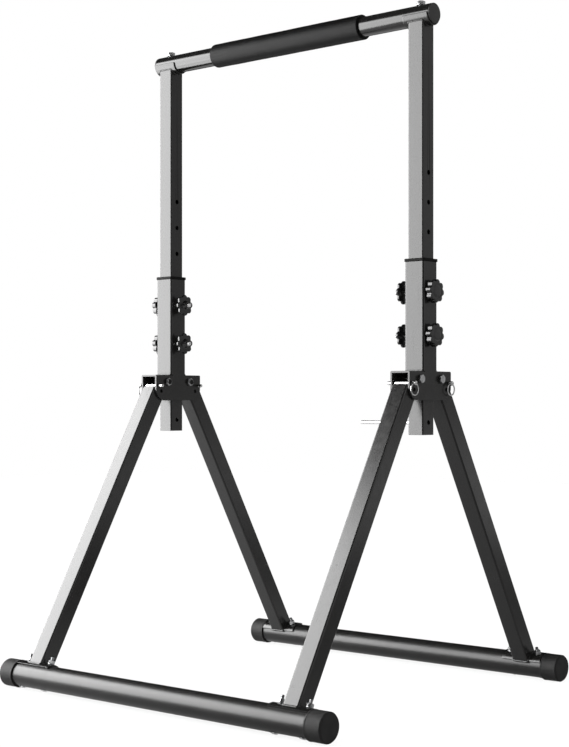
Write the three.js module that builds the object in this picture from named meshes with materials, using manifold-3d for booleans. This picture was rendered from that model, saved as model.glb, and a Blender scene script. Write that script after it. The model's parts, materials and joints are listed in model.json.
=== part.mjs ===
// Foldable bar stand of square and round steel tube: two telescoping posts in sleeves, a padded
// crossbar, and four legs hinged in channel brackets, on two round base tubes.
// Millimetres. Left is -X, right +X, front -Y, back +Y, up +Z. The origin is on the floor, in the middle.

import * as THREE from 'three';
import { mergeVertices } from 'three/addons/utils/BufferGeometryUtils.js';
import Module from 'manifold-3d';

const wasm = await Module();
wasm.setup();

// Stance of the whole stand
const POST_SPACING = 750;
const CROSSBAR_HEIGHT = 1473;
const BRACKET_HEIGHT = 650.5;
const BASE_SPACING = 856;

// Gaps between pieces
const SEAT_GAP = 0.3;
const SLIDE_GAP = 0.4;
const HOLE_GAP = 0.4;
const OVERRUN = 6;

// Inner posts
const POST_WIDTH = 40;
const POST_WALL = 2;
const POST_CORNER = 3.5;
const POST_TAIL = 74.5;
const POST_HOLE_RADIUS = 5.5;
const POST_HOLE_PITCH = 63.4;
const POST_HOLE_COUNT = 5;
const STOP_HOLE_RISE = 27;

// Sleeves
const SLEEVE_WIDTH = 50;
const SLEEVE_WALL = 2.5;
const SLEEVE_CORNER = 4.5;
const SLEEVE_LENGTH = 233.5;
const UPPER_KNOB_DROP = 63.8;
const KNOB_LEVEL_SPACING = 93.3;

// Collars, the bushings in the sleeve tops
const COLLAR_FLANGE_WIDTH = 53.6;
const COLLAR_FLANGE_HEIGHT = 6.2;
const COLLAR_CORNER = 5;
const COLLAR_LINER_LENGTH = 48;
const COLLAR_LINER_CORNER = 2.2;

// Hinge brackets
const BRACKET_DEPTH = 61.5;
const BRACKET_LENGTH = 152.5;
const BRACKET_PLATE = 4;
const BRACKET_BEND_RADIUS = 3;
const BRACKET_NOSE_RADIUS = 28;
const PIVOT_SPACING = 75.2;
const PIVOT_DROP = 16.6;

// Legs
const LEG_WIDTH = 40;
const LEG_WALL = 2;
const LEG_CORNER = 4;
const LEG_OFFSET = 8.1;
const LEG_MOUTH_CHAMFER = 4;
const PIVOT_BUSH_WALL = 3;

// Foot saddles at the leg ends
const FOOT_TILT = THREE.MathUtils.degToRad(20);
const FOOT_HALF_ANGLE = THREE.MathUtils.degToRad(47);
const FOOT_LENGTH = 103;
const FOOT_PLATE = 3.6;
const FOOT_BOLT_SPACING = 72;

// Base tubes and their rubber end caps
const BASE_RADIUS = 27.4;
const BASE_WALL = 2;
const CAP_RADIUS = 31.3;
const CAP_FLAT = 0.8;
const CAP_LENGTH = 42.3;
const CAP_END = 5;
const CAP_CHAMFER = 3;
const FOOT_CAP_GAP = 1.2;

// Crossbar, its end plugs, grip and saddles
const CROSSBAR_RADIUS = 21.7;
const CROSSBAR_WALL = 2.2;
const PLUG_HEAD = 4;
const PLUG_DEPTH = 16;
const PLUG_CHAMFER = 1.2;
const GRIP_RADIUS = 27.5;
const GRIP_LENGTH = 442;
const GRIP_ROUND = 2.5;
const TROUGH_PLATE = 3;
const TROUGH_LENGTH = 65;

// Fasteners
const BOLT_RADIUS = 5;
const HEX_ACROSS_FLATS = 17;
const BOLT_HEAD_HEIGHT = 6.4;
const NUT_HEIGHT = 8;
const WASHER_RADIUS = 10;
const WASHER_THICKNESS = 2;
const BOLT_TIP = 3;

// Foot bolts, a size smaller
const FOOT_BOLT_RADIUS = 4;
const FOOT_HEX_ACROSS_FLATS = 13;
const FOOT_NUT_HEIGHT = 6.5;
const FOOT_WASHER_RADIUS = 8;
const FOOT_WASHER_THICKNESS = 1.6;
const FOOT_BOLT_TIP = 8;
const CUP_HEAD_RADIUS = 8;
const CUP_HEAD_HEIGHT = 2.2;
const CUP_HEAD_CROWN_RADIUS = 5.4;

// Lock pins with their rings
const LOCK_PIN_RADIUS = 4;
const LOCK_PIN_REACH = 31;
const LOCK_PIN_ANGLE = THREE.MathUtils.degToRad(42.9);
const LOCK_PIN_TAIL = 14;
const LOCK_PIN_POINT = 3;
const LOCK_HEAD_RADIUS = 5;
const LOCK_HEAD_LENGTH = 11;
const LOCK_HEAD_CHAMFER = 1.2;
const RING_STANDOFF = 6.5;
const RING_RADIUS = 12.8;
const RING_WIRE_RADIUS = 1.4;

// Stop pin through the lowest hole of the right post
const STOP_PIN_RADIUS = 4;
const STOP_PIN_STICK_OUT = 141;
const STOP_PIN_RECESS = 8;
const STOP_PIN_CHAMFER = 0.8;

// Star knobs
const KNOB_RADIUS = 25.5;
const KNOB_LOBE_HEIGHT = 3.8;
const KNOB_LOBES = 8;
const KNOB_BEVEL = 2;
const KNOB_THICKNESS = 10.5;
const KNOB_NECK_RADIUS = 12;
const KNOB_NECK_LENGTH = 1;
const OUTER_KNOB_STANDOFF = 7.8;
const INNER_KNOB_STANDOFF = 13.5;
const INNER_HUB_RADIUS = 11;
const INNER_HUB_TOP_RADIUS = 8;
const INNER_HUB_HEIGHT = 9;
const STUD_SHOW = 6.5;
const KNOB_NUT_ACROSS_FLATS = 19;
const KNOB_NUT_HEIGHT = 6;

// Numbers of facets
const TUBE_SIDES = 24;
const ROUND_SIDES = 16;
const PIN_SIDES = 10;
const HOLE_SIDES = 10;
const HEX_SIDES = 6;
const CORNER_STEPS = 1;
const NOSE_STEPS = 3;
const FOOT_STEPS = 6;
const LOBE_STEPS = 4;
const RING_STEPS = 16;
const WIRE_SIDES = 6;

// Places worked out from the sizes above
const postX = POST_SPACING / 2;
const postHalf = POST_WIDTH / 2;
const sleeveHalf = SLEEVE_WIDTH / 2;
const baseY = BASE_SPACING / 2;
const baseZ = CAP_RADIUS - CAP_FLAT;
const bracketTop = BRACKET_HEIGHT + BRACKET_DEPTH;
const pivotY = PIVOT_SPACING / 2;
const pivotZ = bracketTop - PIVOT_DROP;
const sleeveBottom = bracketTop + SEAT_GAP;
const sleeveTop = sleeveBottom + SLEEVE_LENGTH;
const upperKnobZ = sleeveTop - UPPER_KNOB_DROP;
const lowerKnobZ = upperKnobZ - KNOB_LEVEL_SPACING;
const postBottom = BRACKET_HEIGHT - POST_TAIL;
const stopHoleZ = postBottom + STOP_HOLE_RISE;
const footBoltX = FOOT_BOLT_SPACING / 2;
const boltHole = BOLT_RADIUS + HOLE_GAP;
const footBoltHole = FOOT_BOLT_RADIUS + HOLE_GAP;
const baseLength = POST_SPACING + FOOT_LENGTH + 2 * (FOOT_CAP_GAP + CAP_LENGTH);
const crossbarLength = POST_SPACING + TROUGH_LENGTH;

// The leg's slant follows from the pivot, the base tube and the offset between pivot and leg axis
const legRun = Math.hypot(baseY - pivotY, pivotZ - baseZ);
const legSplay = Math.atan2(baseY - pivotY, pivotZ - baseZ) - Math.asin(LEG_OFFSET / legRun);
const legReach = Math.sqrt(legRun ** 2 - LEG_OFFSET ** 2);

const SIDES = { left: -1, right: 1 };
const ENDS = { front: -1, back: 1 };

// Finishes
const paint = () => new THREE.MeshStandardMaterial({ color: 0x2b2b2c, roughness: 0.38, metalness: 0.35 });
const chrome = () => new THREE.MeshStandardMaterial({ color: 0xd4d6d8, roughness: 0.16, metalness: 1 });
const zinc = () => new THREE.MeshStandardMaterial({ color: 0x9b9d9e, roughness: 0.34, metalness: 0.9 });
const plastic = () => new THREE.MeshStandardMaterial({ color: 0x1a1a1b, roughness: 0.5, metalness: 0 });
const rubber = () => new THREE.MeshStandardMaterial({ color: 0x242424, roughness: 0.75, metalness: 0 });
const foam = () => new THREE.MeshStandardMaterial({ color: 0x161617, roughness: 0.9, metalness: 0 });

// A closed geometry as a solid that can be joined and cut
function solid(geometry) {
  geometry.deleteAttribute('normal');
  geometry.deleteAttribute('uv');
  const merged = mergeVertices(geometry);
  const corners = merged.index.array;
  const faces = [];
  for (let i = 0; i < corners.length; i += 3) {
    const [a, b, c] = corners.slice(i, i + 3);
    if (a !== b && b !== c && c !== a) faces.push(a, b, c);
  }
  return new wasm.Manifold(new wasm.Mesh({
    numProp: 3,
    vertProperties: new Float32Array(merged.attributes.position.array),
    triVerts: new Uint32Array(faces),
  }));
}

// A solid back as a geometry
function geometryOf(body) {
  const mesh = body.getMesh();
  const geometry = new THREE.BufferGeometry();
  geometry.setAttribute('position', new THREE.BufferAttribute(mesh.vertProperties, 3));
  geometry.setIndex(new THREE.BufferAttribute(mesh.triVerts, 1));
  geometry.computeVertexNormals();
  return geometry;
}

// Turns a geometry made along +Z so that it runs along the named axis
function turnedTo(geometry, axis) {
  if (axis === 'x') geometry.rotateY(Math.PI / 2);
  if (axis === 'y') geometry.rotateX(-Math.PI / 2);
  return geometry;
}

// A round or hexagonal bar from start to end along an axis, with its far end as wide as endRadius
function bar(radius, start, end, axis = 'z', sides = ROUND_SIDES, endRadius = radius) {
  const geometry = new THREE.CylinderGeometry(endRadius, radius, end - start, sides);
  geometry.rotateX(Math.PI / 2);
  geometry.translate(0, 0, (start + end) / 2);
  return solid(turnedTo(geometry, axis));
}

const hexBar = (acrossFlats, start, end, axis) =>
  bar(acrossFlats / Math.sqrt(3), start, end, axis, HEX_SIDES);

// A solid of revolution. The profile holds [radius, height] points and runs anticlockwise.
function revolved(profile, axis, sides = TUBE_SIDES) {
  const points = profile.map(([radius, height]) => new THREE.Vector2(radius, height));
  const geometry = new THREE.LatheGeometry(points, sides);
  geometry.rotateX(Math.PI / 2);
  return solid(turnedTo(geometry, axis));
}

// A tube of revolution, open at both ends
function roundTube(radius, bore, start, end, axis) {
  const wall = [[bore, start], [radius, start], [radius, end], [bore, end], [bore, start]];
  return revolved(wall, axis);
}

// A square outline with rounded corners
function roundedSquare(width, corner, Outline = THREE.Shape) {
  const outline = new Outline();
  const inset = width / 2 - corner;
  const centres = [[inset, inset], [-inset, inset], [-inset, -inset], [inset, -inset]];
  centres.forEach(([x, y], quarter) => {
    const start = quarter * Math.PI / 2;
    outline.absarc(x, y, corner, start, start + Math.PI / 2);
  });
  return outline;
}

// Extrudes an outline of the XY plane from bottom to top
function upright(outline, bottom, top, steps = CORNER_STEPS) {
  const options = { depth: top - bottom, bevelEnabled: false, curveSegments: steps };
  const geometry = new THREE.ExtrudeGeometry(outline, options);
  geometry.translate(0, 0, bottom);
  return solid(geometry);
}

// Extrudes an outline of the YZ plane over a width along X, centred on the plane
function sideways(outline, width, steps = NOSE_STEPS) {
  const options = { depth: width, bevelEnabled: false, curveSegments: steps };
  const geometry = new THREE.ExtrudeGeometry(outline, options);
  geometry.translate(0, 0, -width / 2);
  const axes = [new THREE.Vector3(0, 1, 0), new THREE.Vector3(0, 0, 1), new THREE.Vector3(1, 0, 0)];
  geometry.applyMatrix4(new THREE.Matrix4().makeBasis(...axes));
  return solid(geometry);
}

function squareTube(width, wall, corner, bottom, top) {
  const outline = roundedSquare(width, corner);
  outline.holes.push(roundedSquare(width - 2 * wall, corner - wall, THREE.Path));
  return upright(outline, bottom, top);
}

// Takes a list of cutters out of a body
const cut = (body, cutters) => cutters.reduce((rest, cutter) => rest.subtract(cutter), body);

// Joins a list of bodies
const joined = (bodies) => bodies.reduce((whole, body) => whole.add(body));

const DEGREES = THREE.MathUtils.RAD2DEG;

// Turns a solid about the X axis
const pitched = (body, angle) => body.rotate([angle * DEGREES, 0, 0]);

const stand = new THREE.Group();

// Adds a piece as a named mesh. The turn is about the vertical and comes before the tilt about X.
function add(name, body, material, place = [0, 0, 0], turn = 0, tilt = 0) {
  const mesh = new THREE.Mesh(geometryOf(body), material);
  mesh.name = name;
  const carrier = new THREE.Group();
  carrier.position.set(...place);
  carrier.rotation.z = turn;
  mesh.rotation.x = tilt;
  carrier.add(mesh);
  stand.add(carrier);
}

// What faces outward on the right is turned half round on the left
const outward = (side) => (side === 'left' ? Math.PI : 0);

// Inner posts: square tubes with holes on both side faces, coped to the troughs at the top
const troughInner = CROSSBAR_RADIUS + SEAT_GAP;
const troughOuter = troughInner + TROUGH_PLATE;

function innerPost() {
  const tube = squareTube(POST_WIDTH, POST_WALL, POST_CORNER, postBottom, CROSSBAR_HEIGHT);
  const hole = bar(POST_HOLE_RADIUS, -POST_WIDTH, POST_WIDTH, 'x', HOLE_SIDES);
  const levels = [stopHoleZ];
  for (let i = 0; i < POST_HOLE_COUNT; i += 1) levels.push(upperKnobZ + i * POST_HOLE_PITCH);
  const cope = bar(troughOuter + SEAT_GAP, -POST_WIDTH, POST_WIDTH, 'x', TUBE_SIDES);
  const cutters = levels.map((level) => hole.translate([0, 0, level]));
  return cut(tube, [...cutters, cope.translate([0, 0, CROSSBAR_HEIGHT])]);
}

// Trough: the lower half of a tube round the crossbar, drilled for the bolt
function trough() {
  const shell = roundTube(troughOuter, troughInner, -TROUGH_LENGTH / 2, TROUGH_LENGTH / 2, 'x');
  const height = troughOuter + OVERRUN;
  const upperHalf = new THREE.BoxGeometry(TROUGH_LENGTH + OVERRUN, 2 * height, height);
  upperHalf.translate(0, 0, height / 2);
  return cut(shell, [solid(upperHalf), bar(boltHole, -height, 0, 'z', HOLE_SIDES)]);
}

// Crossbar bolt: head and washer on top of the bar, nut under the trough, inside the post
function crossbarBolt() {
  const washerBottom = CROSSBAR_RADIUS + SEAT_GAP;
  const headBottom = washerBottom + WASHER_THICKNESS;
  const nutTop = -troughOuter - SEAT_GAP;
  const nutBottom = nutTop - NUT_HEIGHT;
  return joined([
    bar(BOLT_RADIUS, nutBottom - BOLT_TIP, headBottom, 'z', PIN_SIDES),
    bar(WASHER_RADIUS, washerBottom, headBottom, 'z', ROUND_SIDES),
    hexBar(HEX_ACROSS_FLATS, headBottom, headBottom + BOLT_HEAD_HEIGHT, 'z'),
    hexBar(HEX_ACROSS_FLATS, nutBottom, nutTop, 'z'),
  ]);
}

// Crossbar: round tube with a cross hole over each post
function crossbar() {
  const half = crossbarLength / 2;
  const tube = roundTube(CROSSBAR_RADIUS, CROSSBAR_RADIUS - CROSSBAR_WALL, -half, half, 'x');
  const hole = bar(boltHole, -CROSSBAR_RADIUS - OVERRUN, CROSSBAR_RADIUS + OVERRUN, 'z', HOLE_SIDES);
  return cut(tube, [hole.translate([-postX, 0, 0]), hole.translate([postX, 0, 0])]);
}

// Plug: a disc as wide as the tube on a hollow spigot
function crossbarPlug() {
  const spigot = CROSSBAR_RADIUS - CROSSBAR_WALL - SEAT_GAP;
  const bore = spigot - CROSSBAR_WALL;
  return revolved([
    [0, SEAT_GAP], [bore, SEAT_GAP], [bore, -PLUG_DEPTH], [spigot, -PLUG_DEPTH], [spigot, SEAT_GAP],
    [CROSSBAR_RADIUS, SEAT_GAP], [CROSSBAR_RADIUS, PLUG_HEAD - PLUG_CHAMFER],
    [CROSSBAR_RADIUS - PLUG_CHAMFER, PLUG_HEAD], [0, PLUG_HEAD],
  ], 'x');
}

// Grip: a thick foam sleeve with softened ends
function grip() {
  const bore = CROSSBAR_RADIUS + SEAT_GAP;
  const half = GRIP_LENGTH / 2;
  return revolved([
    [bore, -half], [GRIP_RADIUS - GRIP_ROUND, -half], [GRIP_RADIUS, -half + GRIP_ROUND],
    [GRIP_RADIUS, half - GRIP_ROUND], [GRIP_RADIUS - GRIP_ROUND, half], [bore, half], [bore, -half],
  ], 'x');
}

// Stop pin: a plain rod with chamfered ends that lies on the bottom of its hole
function stopPin() {
  const start = -postHalf - STOP_PIN_STICK_OUT;
  const end = postHalf - STOP_PIN_RECESS;
  const tip = STOP_PIN_RADIUS - STOP_PIN_CHAMFER;
  return revolved([
    [0, start], [tip, start], [STOP_PIN_RADIUS, start + STOP_PIN_CHAMFER],
    [STOP_PIN_RADIUS, end - STOP_PIN_CHAMFER], [tip, end], [0, end],
  ], 'x', PIN_SIDES);
}

const barCentre = [0, 0, CROSSBAR_HEIGHT];
add('crossbar', crossbar(), paint(), barCentre);
add('grip', grip(), foam(), barCentre);
for (const [side, sign] of Object.entries(SIDES)) {
  const overPost = [sign * postX, 0, CROSSBAR_HEIGHT];
  const barEnd = [sign * crossbarLength / 2, 0, CROSSBAR_HEIGHT];
  add(`crossbar_cap_${side}`, crossbarPlug(), plastic(), barEnd, outward(side));
  add(`inner_post_${side}`, innerPost(), paint(), [sign * postX, 0, 0]);
  add(`saddle_${side}`, trough(), paint(), overPost);
  add(`crossbar_bolt_${side}`, crossbarBolt(), zinc(), overPost);
}
const stopPinDrop = POST_HOLE_RADIUS - STOP_PIN_RADIUS - SEAT_GAP;
add('stop_pin', stopPin(), chrome(), [postX, 0, stopHoleZ - stopPinDrop]);

// Sleeve: square tube drilled for the knob studs on both side faces
function sleeve() {
  const tube = squareTube(SLEEVE_WIDTH, SLEEVE_WALL, SLEEVE_CORNER, sleeveBottom, sleeveTop);
  const hole = bar(boltHole, -SLEEVE_WIDTH, SLEEVE_WIDTH, 'x', HOLE_SIDES);
  return cut(tube, [hole.translate([0, 0, upperKnobZ]), hole.translate([0, 0, lowerKnobZ])]);
}

// Collar: square flange on the sleeve's end and a thin liner between sleeve and post
function collar() {
  const flangeBottom = sleeveTop + SEAT_GAP;
  const flangeTop = flangeBottom + COLLAR_FLANGE_HEIGHT;
  const linerBottom = flangeBottom - COLLAR_LINER_LENGTH;
  const linerWidth = SLEEVE_WIDTH - 2 * (SLEEVE_WALL + SEAT_GAP);
  const flange = upright(roundedSquare(COLLAR_FLANGE_WIDTH, COLLAR_CORNER), flangeBottom, flangeTop);
  const liner = upright(roundedSquare(linerWidth, COLLAR_LINER_CORNER), linerBottom, flangeTop);
  const bore = roundedSquare(POST_WIDTH + 2 * SLIDE_GAP, POST_CORNER);
  return flange.add(liner).subtract(upright(bore, linerBottom - OVERRUN, flangeTop + OVERRUN));
}

// Where a lock pin lies beside a leg that is turned by the given angle from the vertical
function lockPinPlace(legAngle) {
  const angle = legAngle + LOCK_PIN_ANGLE;
  return [pivotY + LOCK_PIN_REACH * Math.sin(angle), pivotZ - LOCK_PIN_REACH * Math.cos(angle)];
}

const lockedOpen = lockPinPlace(legSplay);
const lockedFolded = lockPinPlace(0);

// Bracket: a channel open downwards and at both ends, with rounded noses at the plates' lower corners
function bracket() {
  const half = sleeveHalf;
  const section = new THREE.Shape();
  section.moveTo(-half, BRACKET_HEIGHT);
  section.lineTo(-half + BRACKET_PLATE, BRACKET_HEIGHT);
  section.lineTo(-half + BRACKET_PLATE, bracketTop - BRACKET_PLATE);
  section.lineTo(half - BRACKET_PLATE, bracketTop - BRACKET_PLATE);
  section.lineTo(half - BRACKET_PLATE, BRACKET_HEIGHT);
  section.lineTo(half, BRACKET_HEIGHT);
  section.absarc(half - BRACKET_BEND_RADIUS, bracketTop - BRACKET_BEND_RADIUS,
    BRACKET_BEND_RADIUS, 0, Math.PI / 2);
  section.absarc(-half + BRACKET_BEND_RADIUS, bracketTop - BRACKET_BEND_RADIUS,
    BRACKET_BEND_RADIUS, Math.PI / 2, Math.PI);
  const channel = upright(section, -BRACKET_LENGTH, BRACKET_LENGTH);

  const reach = BRACKET_LENGTH / 2;
  const plate = new THREE.Shape();
  plate.moveTo(reach, bracketTop);
  plate.lineTo(-reach, bracketTop);
  plate.absarc(-reach + BRACKET_NOSE_RADIUS, BRACKET_HEIGHT + BRACKET_NOSE_RADIUS,
    BRACKET_NOSE_RADIUS, Math.PI, Math.PI * 3 / 2);
  plate.absarc(reach - BRACKET_NOSE_RADIUS, BRACKET_HEIGHT + BRACKET_NOSE_RADIUS,
    BRACKET_NOSE_RADIUS, -Math.PI / 2, 0);

  const postHole = roundedSquare(POST_WIDTH + 2 * SLIDE_GAP, POST_CORNER);
  const cutters = [upright(postHole, bracketTop - BRACKET_PLATE - OVERRUN, bracketTop + OVERRUN)];
  const pivotHole = bar(boltHole, -SLEEVE_WIDTH, SLEEVE_WIDTH, 'x', HOLE_SIDES);
  const lockHole = bar(LOCK_PIN_RADIUS + HOLE_GAP, -SLEEVE_WIDTH, SLEEVE_WIDTH, 'x', HOLE_SIDES);
  for (const sign of Object.values(ENDS)) {
    cutters.push(pivotHole.translate([0, sign * pivotY, pivotZ]));
    for (const [y, z] of [lockedOpen, lockedFolded]) {
      cutters.push(lockHole.translate([0, sign * y, z]));
    }
  }
  const blank = pitched(channel, Math.PI / 2).intersect(sideways(plate, SLEEVE_WIDTH + OVERRUN));
  return cut(blank, cutters);
}

// Pivot bolt: hex head outside, nut inside, with the shank through both plates
function pivotBolt() {
  const face = sleeveHalf + SEAT_GAP;
  return joined([
    bar(BOLT_RADIUS, -face - NUT_HEIGHT, face, 'x', PIN_SIDES),
    hexBar(HEX_ACROSS_FLATS, face, face + BOLT_HEAD_HEIGHT, 'x'),
    hexBar(HEX_ACROSS_FLATS, -face - NUT_HEIGHT, -face, 'x'),
  ]);
}

// The ring sags out of the middle of its hole, so the hole in the pin head is that much wider. The
// sides of the faceted hole lie nearer to its middle than the corners.
const ringSag = RING_RADIUS - Math.sqrt(RING_RADIUS ** 2 - LOCK_HEAD_RADIUS ** 2);
const ringHole = (RING_WIRE_RADIUS + ringSag + HOLE_GAP) / Math.cos(Math.PI / HOLE_SIDES);

// Lock pin: shank with a pointed tail and a cross-drilled head
function lockPin() {
  const face = sleeveHalf + SEAT_GAP;
  const tail = -sleeveHalf - LOCK_PIN_TAIL;
  const end = face + LOCK_HEAD_LENGTH;
  const pin = revolved([
    [0, tail], [LOCK_PIN_RADIUS - LOCK_PIN_POINT / 2, tail], [LOCK_PIN_RADIUS, tail + LOCK_PIN_POINT],
    [LOCK_PIN_RADIUS, face], [LOCK_HEAD_RADIUS, face], [LOCK_HEAD_RADIUS, end - LOCK_HEAD_CHAMFER],
    [LOCK_HEAD_RADIUS - LOCK_HEAD_CHAMFER, end], [0, end],
  ], 'x', PIN_SIDES);
  const hole = bar(ringHole, -2 * LOCK_HEAD_RADIUS, 2 * LOCK_HEAD_RADIUS, 'y', HOLE_SIDES);
  return pin.subtract(hole.translate([sleeveHalf + RING_STANDOFF, 0, 0]));
}

function lockRing() {
  const geometry = new THREE.TorusGeometry(RING_RADIUS, RING_WIRE_RADIUS, WIRE_SIDES, RING_STEPS);
  geometry.rotateY(Math.PI / 2);
  return solid(geometry);
}

// Star outline whose lobes swell and sink once for each lobe
function starOutline() {
  const count = KNOB_LOBES * LOBE_STEPS;
  const middle = KNOB_RADIUS - KNOB_BEVEL - KNOB_LOBE_HEIGHT / 2;
  const points = [];
  for (let i = 0; i < count; i += 1) {
    const angle = i * 2 * Math.PI / count;
    const radius = middle + KNOB_LOBE_HEIGHT / 2 * Math.cos(KNOB_LOBES * angle);
    points.push(new THREE.Vector2(radius * Math.cos(angle), radius * Math.sin(angle)));
  }
  return new THREE.Shape(points);
}

// Star knob head from start outwards along X, with a neck towards the sleeve
function knobHead(start) {
  const options = {
    depth: KNOB_THICKNESS - 2 * KNOB_BEVEL,
    bevelThickness: KNOB_BEVEL,
    bevelSize: KNOB_BEVEL,
    bevelSegments: 1,
  };
  const geometry = new THREE.ExtrudeGeometry(starOutline(), options);
  geometry.translate(0, 0, start + KNOB_BEVEL);
  const neck = bar(KNOB_NECK_RADIUS, start - KNOB_NECK_LENGTH, start + KNOB_BEVEL, 'x', ROUND_SIDES);
  return solid(turnedTo(geometry, 'x')).add(neck);
}

// The studs end just off the inner post. X counts from the post's axis.
const studTip = postHalf + SEAT_GAP;
const studHead = (end) => bar(BOLT_RADIUS, studTip, end, 'x', PIN_SIDES);

function outerKnob() {
  const start = sleeveHalf + OUTER_KNOB_STANDOFF;
  return knobHead(start).add(studHead(start));
}

// The inner knobs have a raised hub with the end of the stud showing in it
function innerKnob() {
  const start = sleeveHalf + INNER_KNOB_STANDOFF;
  const face = start + KNOB_THICKNESS;
  const hubTop = face + INNER_HUB_HEIGHT;
  const hub = bar(INNER_HUB_RADIUS, face - KNOB_BEVEL, hubTop, 'x', ROUND_SIDES, INNER_HUB_TOP_RADIUS);
  return joined([knobHead(start), hub, studHead(hubTop + STUD_SHOW)]);
}

function knobNut() {
  const face = sleeveHalf + SEAT_GAP;
  const nut = hexBar(KNOB_NUT_ACROSS_FLATS, face, face + KNOB_NUT_HEIGHT, 'x');
  return nut.subtract(bar(boltHole, sleeveHalf, face + KNOB_NUT_HEIGHT + OVERRUN, 'x', HOLE_SIDES));
}

const knobLevels = { upper: upperKnobZ, lower: lowerKnobZ };
for (const [side, sign] of Object.entries(SIDES)) {
  const turn = outward(side);
  add(`sleeve_${side}`, sleeve(), paint(), [sign * postX, 0, 0]);
  add(`collar_${side}`, collar(), plastic(), [sign * postX, 0, 0]);
  add(`bracket_${side}`, bracket(), paint(), [sign * postX, 0, 0]);
  for (const [end, way] of Object.entries(ENDS)) {
    const [lockY, lockZ] = lockedOpen;
    const pinPlace = [sign * postX, way * lockY, lockZ];
    const ringX = sign * (postX + sleeveHalf + RING_STANDOFF);
    add(`pivot_bolt_${side}_${end}`, pivotBolt(), zinc(), [sign * postX, way * pivotY, pivotZ], turn);
    add(`lock_pin_${side}_${end}`, lockPin(), chrome(), pinPlace, turn);
    add(`lock_ring_${side}_${end}`, lockRing(), chrome(), [ringX, way * lockY, lockZ - RING_RADIUS]);
  }
  for (const [level, height] of Object.entries(knobLevels)) {
    const place = [sign * postX, 0, height];
    add(`knob_${side}_outer_${level}`, outerKnob(), plastic(), place, turn);
    add(`knob_${side}_inner_${level}`, innerKnob(), plastic(), place, turn + Math.PI);
    add(`knob_nut_${side}_${level}`, knobNut(), chrome(), place, turn);
  }
}

// Side outline of a leg about its pivot, with the leg running down. The eye is as wide as the leg's
// inner share, and the outer wall stops below the lock pin.
function legOutline() {
  const inner = LEG_WIDTH / 2 - LEG_OFFSET;
  const outer = LEG_WIDTH / 2 + LEG_OFFSET;
  const shoulder = LOCK_PIN_REACH * Math.cos(LOCK_PIN_ANGLE) + LOCK_PIN_RADIUS + SEAT_GAP;
  const outline = new THREE.Shape();
  outline.moveTo(inner, 0);
  outline.absarc(0, 0, inner, 0, Math.PI);
  outline.lineTo(-inner, -legReach);
  outline.lineTo(outer, -legReach);
  outline.lineTo(outer, -shoulder - LEG_MOUTH_CHAMFER);
  outline.lineTo(outer - LEG_MOUTH_CHAMFER, -shoulder);
  outline.lineTo(inner, -shoulder);
  return outline;
}

const footOuter = BASE_RADIUS + SEAT_GAP + FOOT_PLATE;

// Foot plate: a sector of a shell round the base tube, about the tube's axis, upright in the middle
function footPlate() {
  const sector = new THREE.Shape();
  const bore = BASE_RADIUS;
  const start = Math.PI / 2 - FOOT_HALF_ANGLE;
  const end = Math.PI / 2 + FOOT_HALF_ANGLE;
  sector.absarc(0, 0, footOuter, start, end);
  sector.absarc(0, 0, bore, end, start, true);
  return sideways(sector, FOOT_LENGTH, FOOT_STEPS);
}

// Leg of the back pair: tube with hinge eye, pivot bush and foot plate, about its pivot
function leg() {
  const inner = LEG_WIDTH / 2 - LEG_OFFSET;
  const halfBore = LEG_WIDTH / 2 - LEG_WALL / 2;
  const tube = squareTube(LEG_WIDTH, LEG_WALL, LEG_CORNER, -legReach, inner).translate([0, LEG_OFFSET, 0]);
  const bush = bar(boltHole + PIVOT_BUSH_WALL, -halfBore, halfBore, 'x', PIN_SIDES);
  const toBase = (body) => body.translate([0, LEG_OFFSET, -legReach]);
  const plateTilt = FOOT_TILT - legSplay;
  const plate = toBase(pitched(footPlate(), plateTilt));
  const baseBore = toBase(bar(BASE_RADIUS + SEAT_GAP, -FOOT_LENGTH, FOOT_LENGTH, 'x', TUBE_SIDES));
  const pivotHole = bar(boltHole, -LEG_WIDTH, LEG_WIDTH, 'x', PIN_SIDES);
  const boltBore = pitched(bar(footBoltHole, 0, footOuter + OVERRUN, 'z', HOLE_SIDES), plateTilt);
  const body = tube.intersect(sideways(legOutline(), LEG_WIDTH + OVERRUN)).add(bush).add(plate);
  return cut(body, [
    baseBore,
    pivotHole,
    toBase(boltBore).translate([-footBoltX, 0, 0]),
    toBase(boltBore).translate([footBoltX, 0, 0]),
  ]);
}

// Foot bolt about the base tube's axis, upright: cup head below, washer and nut on the foot plate
function footBolt() {
  const under = -BASE_RADIUS - SEAT_GAP;
  const washerBottom = footOuter + SEAT_GAP;
  const nutBottom = washerBottom + FOOT_WASHER_THICKNESS;
  const nutTop = nutBottom + FOOT_NUT_HEIGHT;
  return joined([
    bar(FOOT_BOLT_RADIUS, under, nutTop + FOOT_BOLT_TIP, 'z', PIN_SIDES),
    bar(CUP_HEAD_CROWN_RADIUS, under - CUP_HEAD_HEIGHT, under, 'z', PIN_SIDES, CUP_HEAD_RADIUS),
    bar(FOOT_WASHER_RADIUS, washerBottom, nutBottom, 'z', PIN_SIDES),
    hexBar(FOOT_HEX_ACROSS_FLATS, nutBottom, nutTop, 'z'),
  ]);
}

// Base tube about its axis, for the back: drilled along the foot bolts
function baseTube() {
  const half = baseLength / 2 - CAP_END - SEAT_GAP;
  const tube = roundTube(BASE_RADIUS, BASE_RADIUS - BASE_WALL, -half, half, 'x');
  const reach = BASE_RADIUS + OVERRUN;
  const hole = pitched(bar(footBoltHole, -reach, reach, 'z', HOLE_SIDES), FOOT_TILT);
  const places = [-postX, postX].flatMap((x) => [x - footBoltX, x + footBoltX]);
  return cut(tube, places.map((x) => hole.translate([x, 0, 0])));
}

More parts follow.
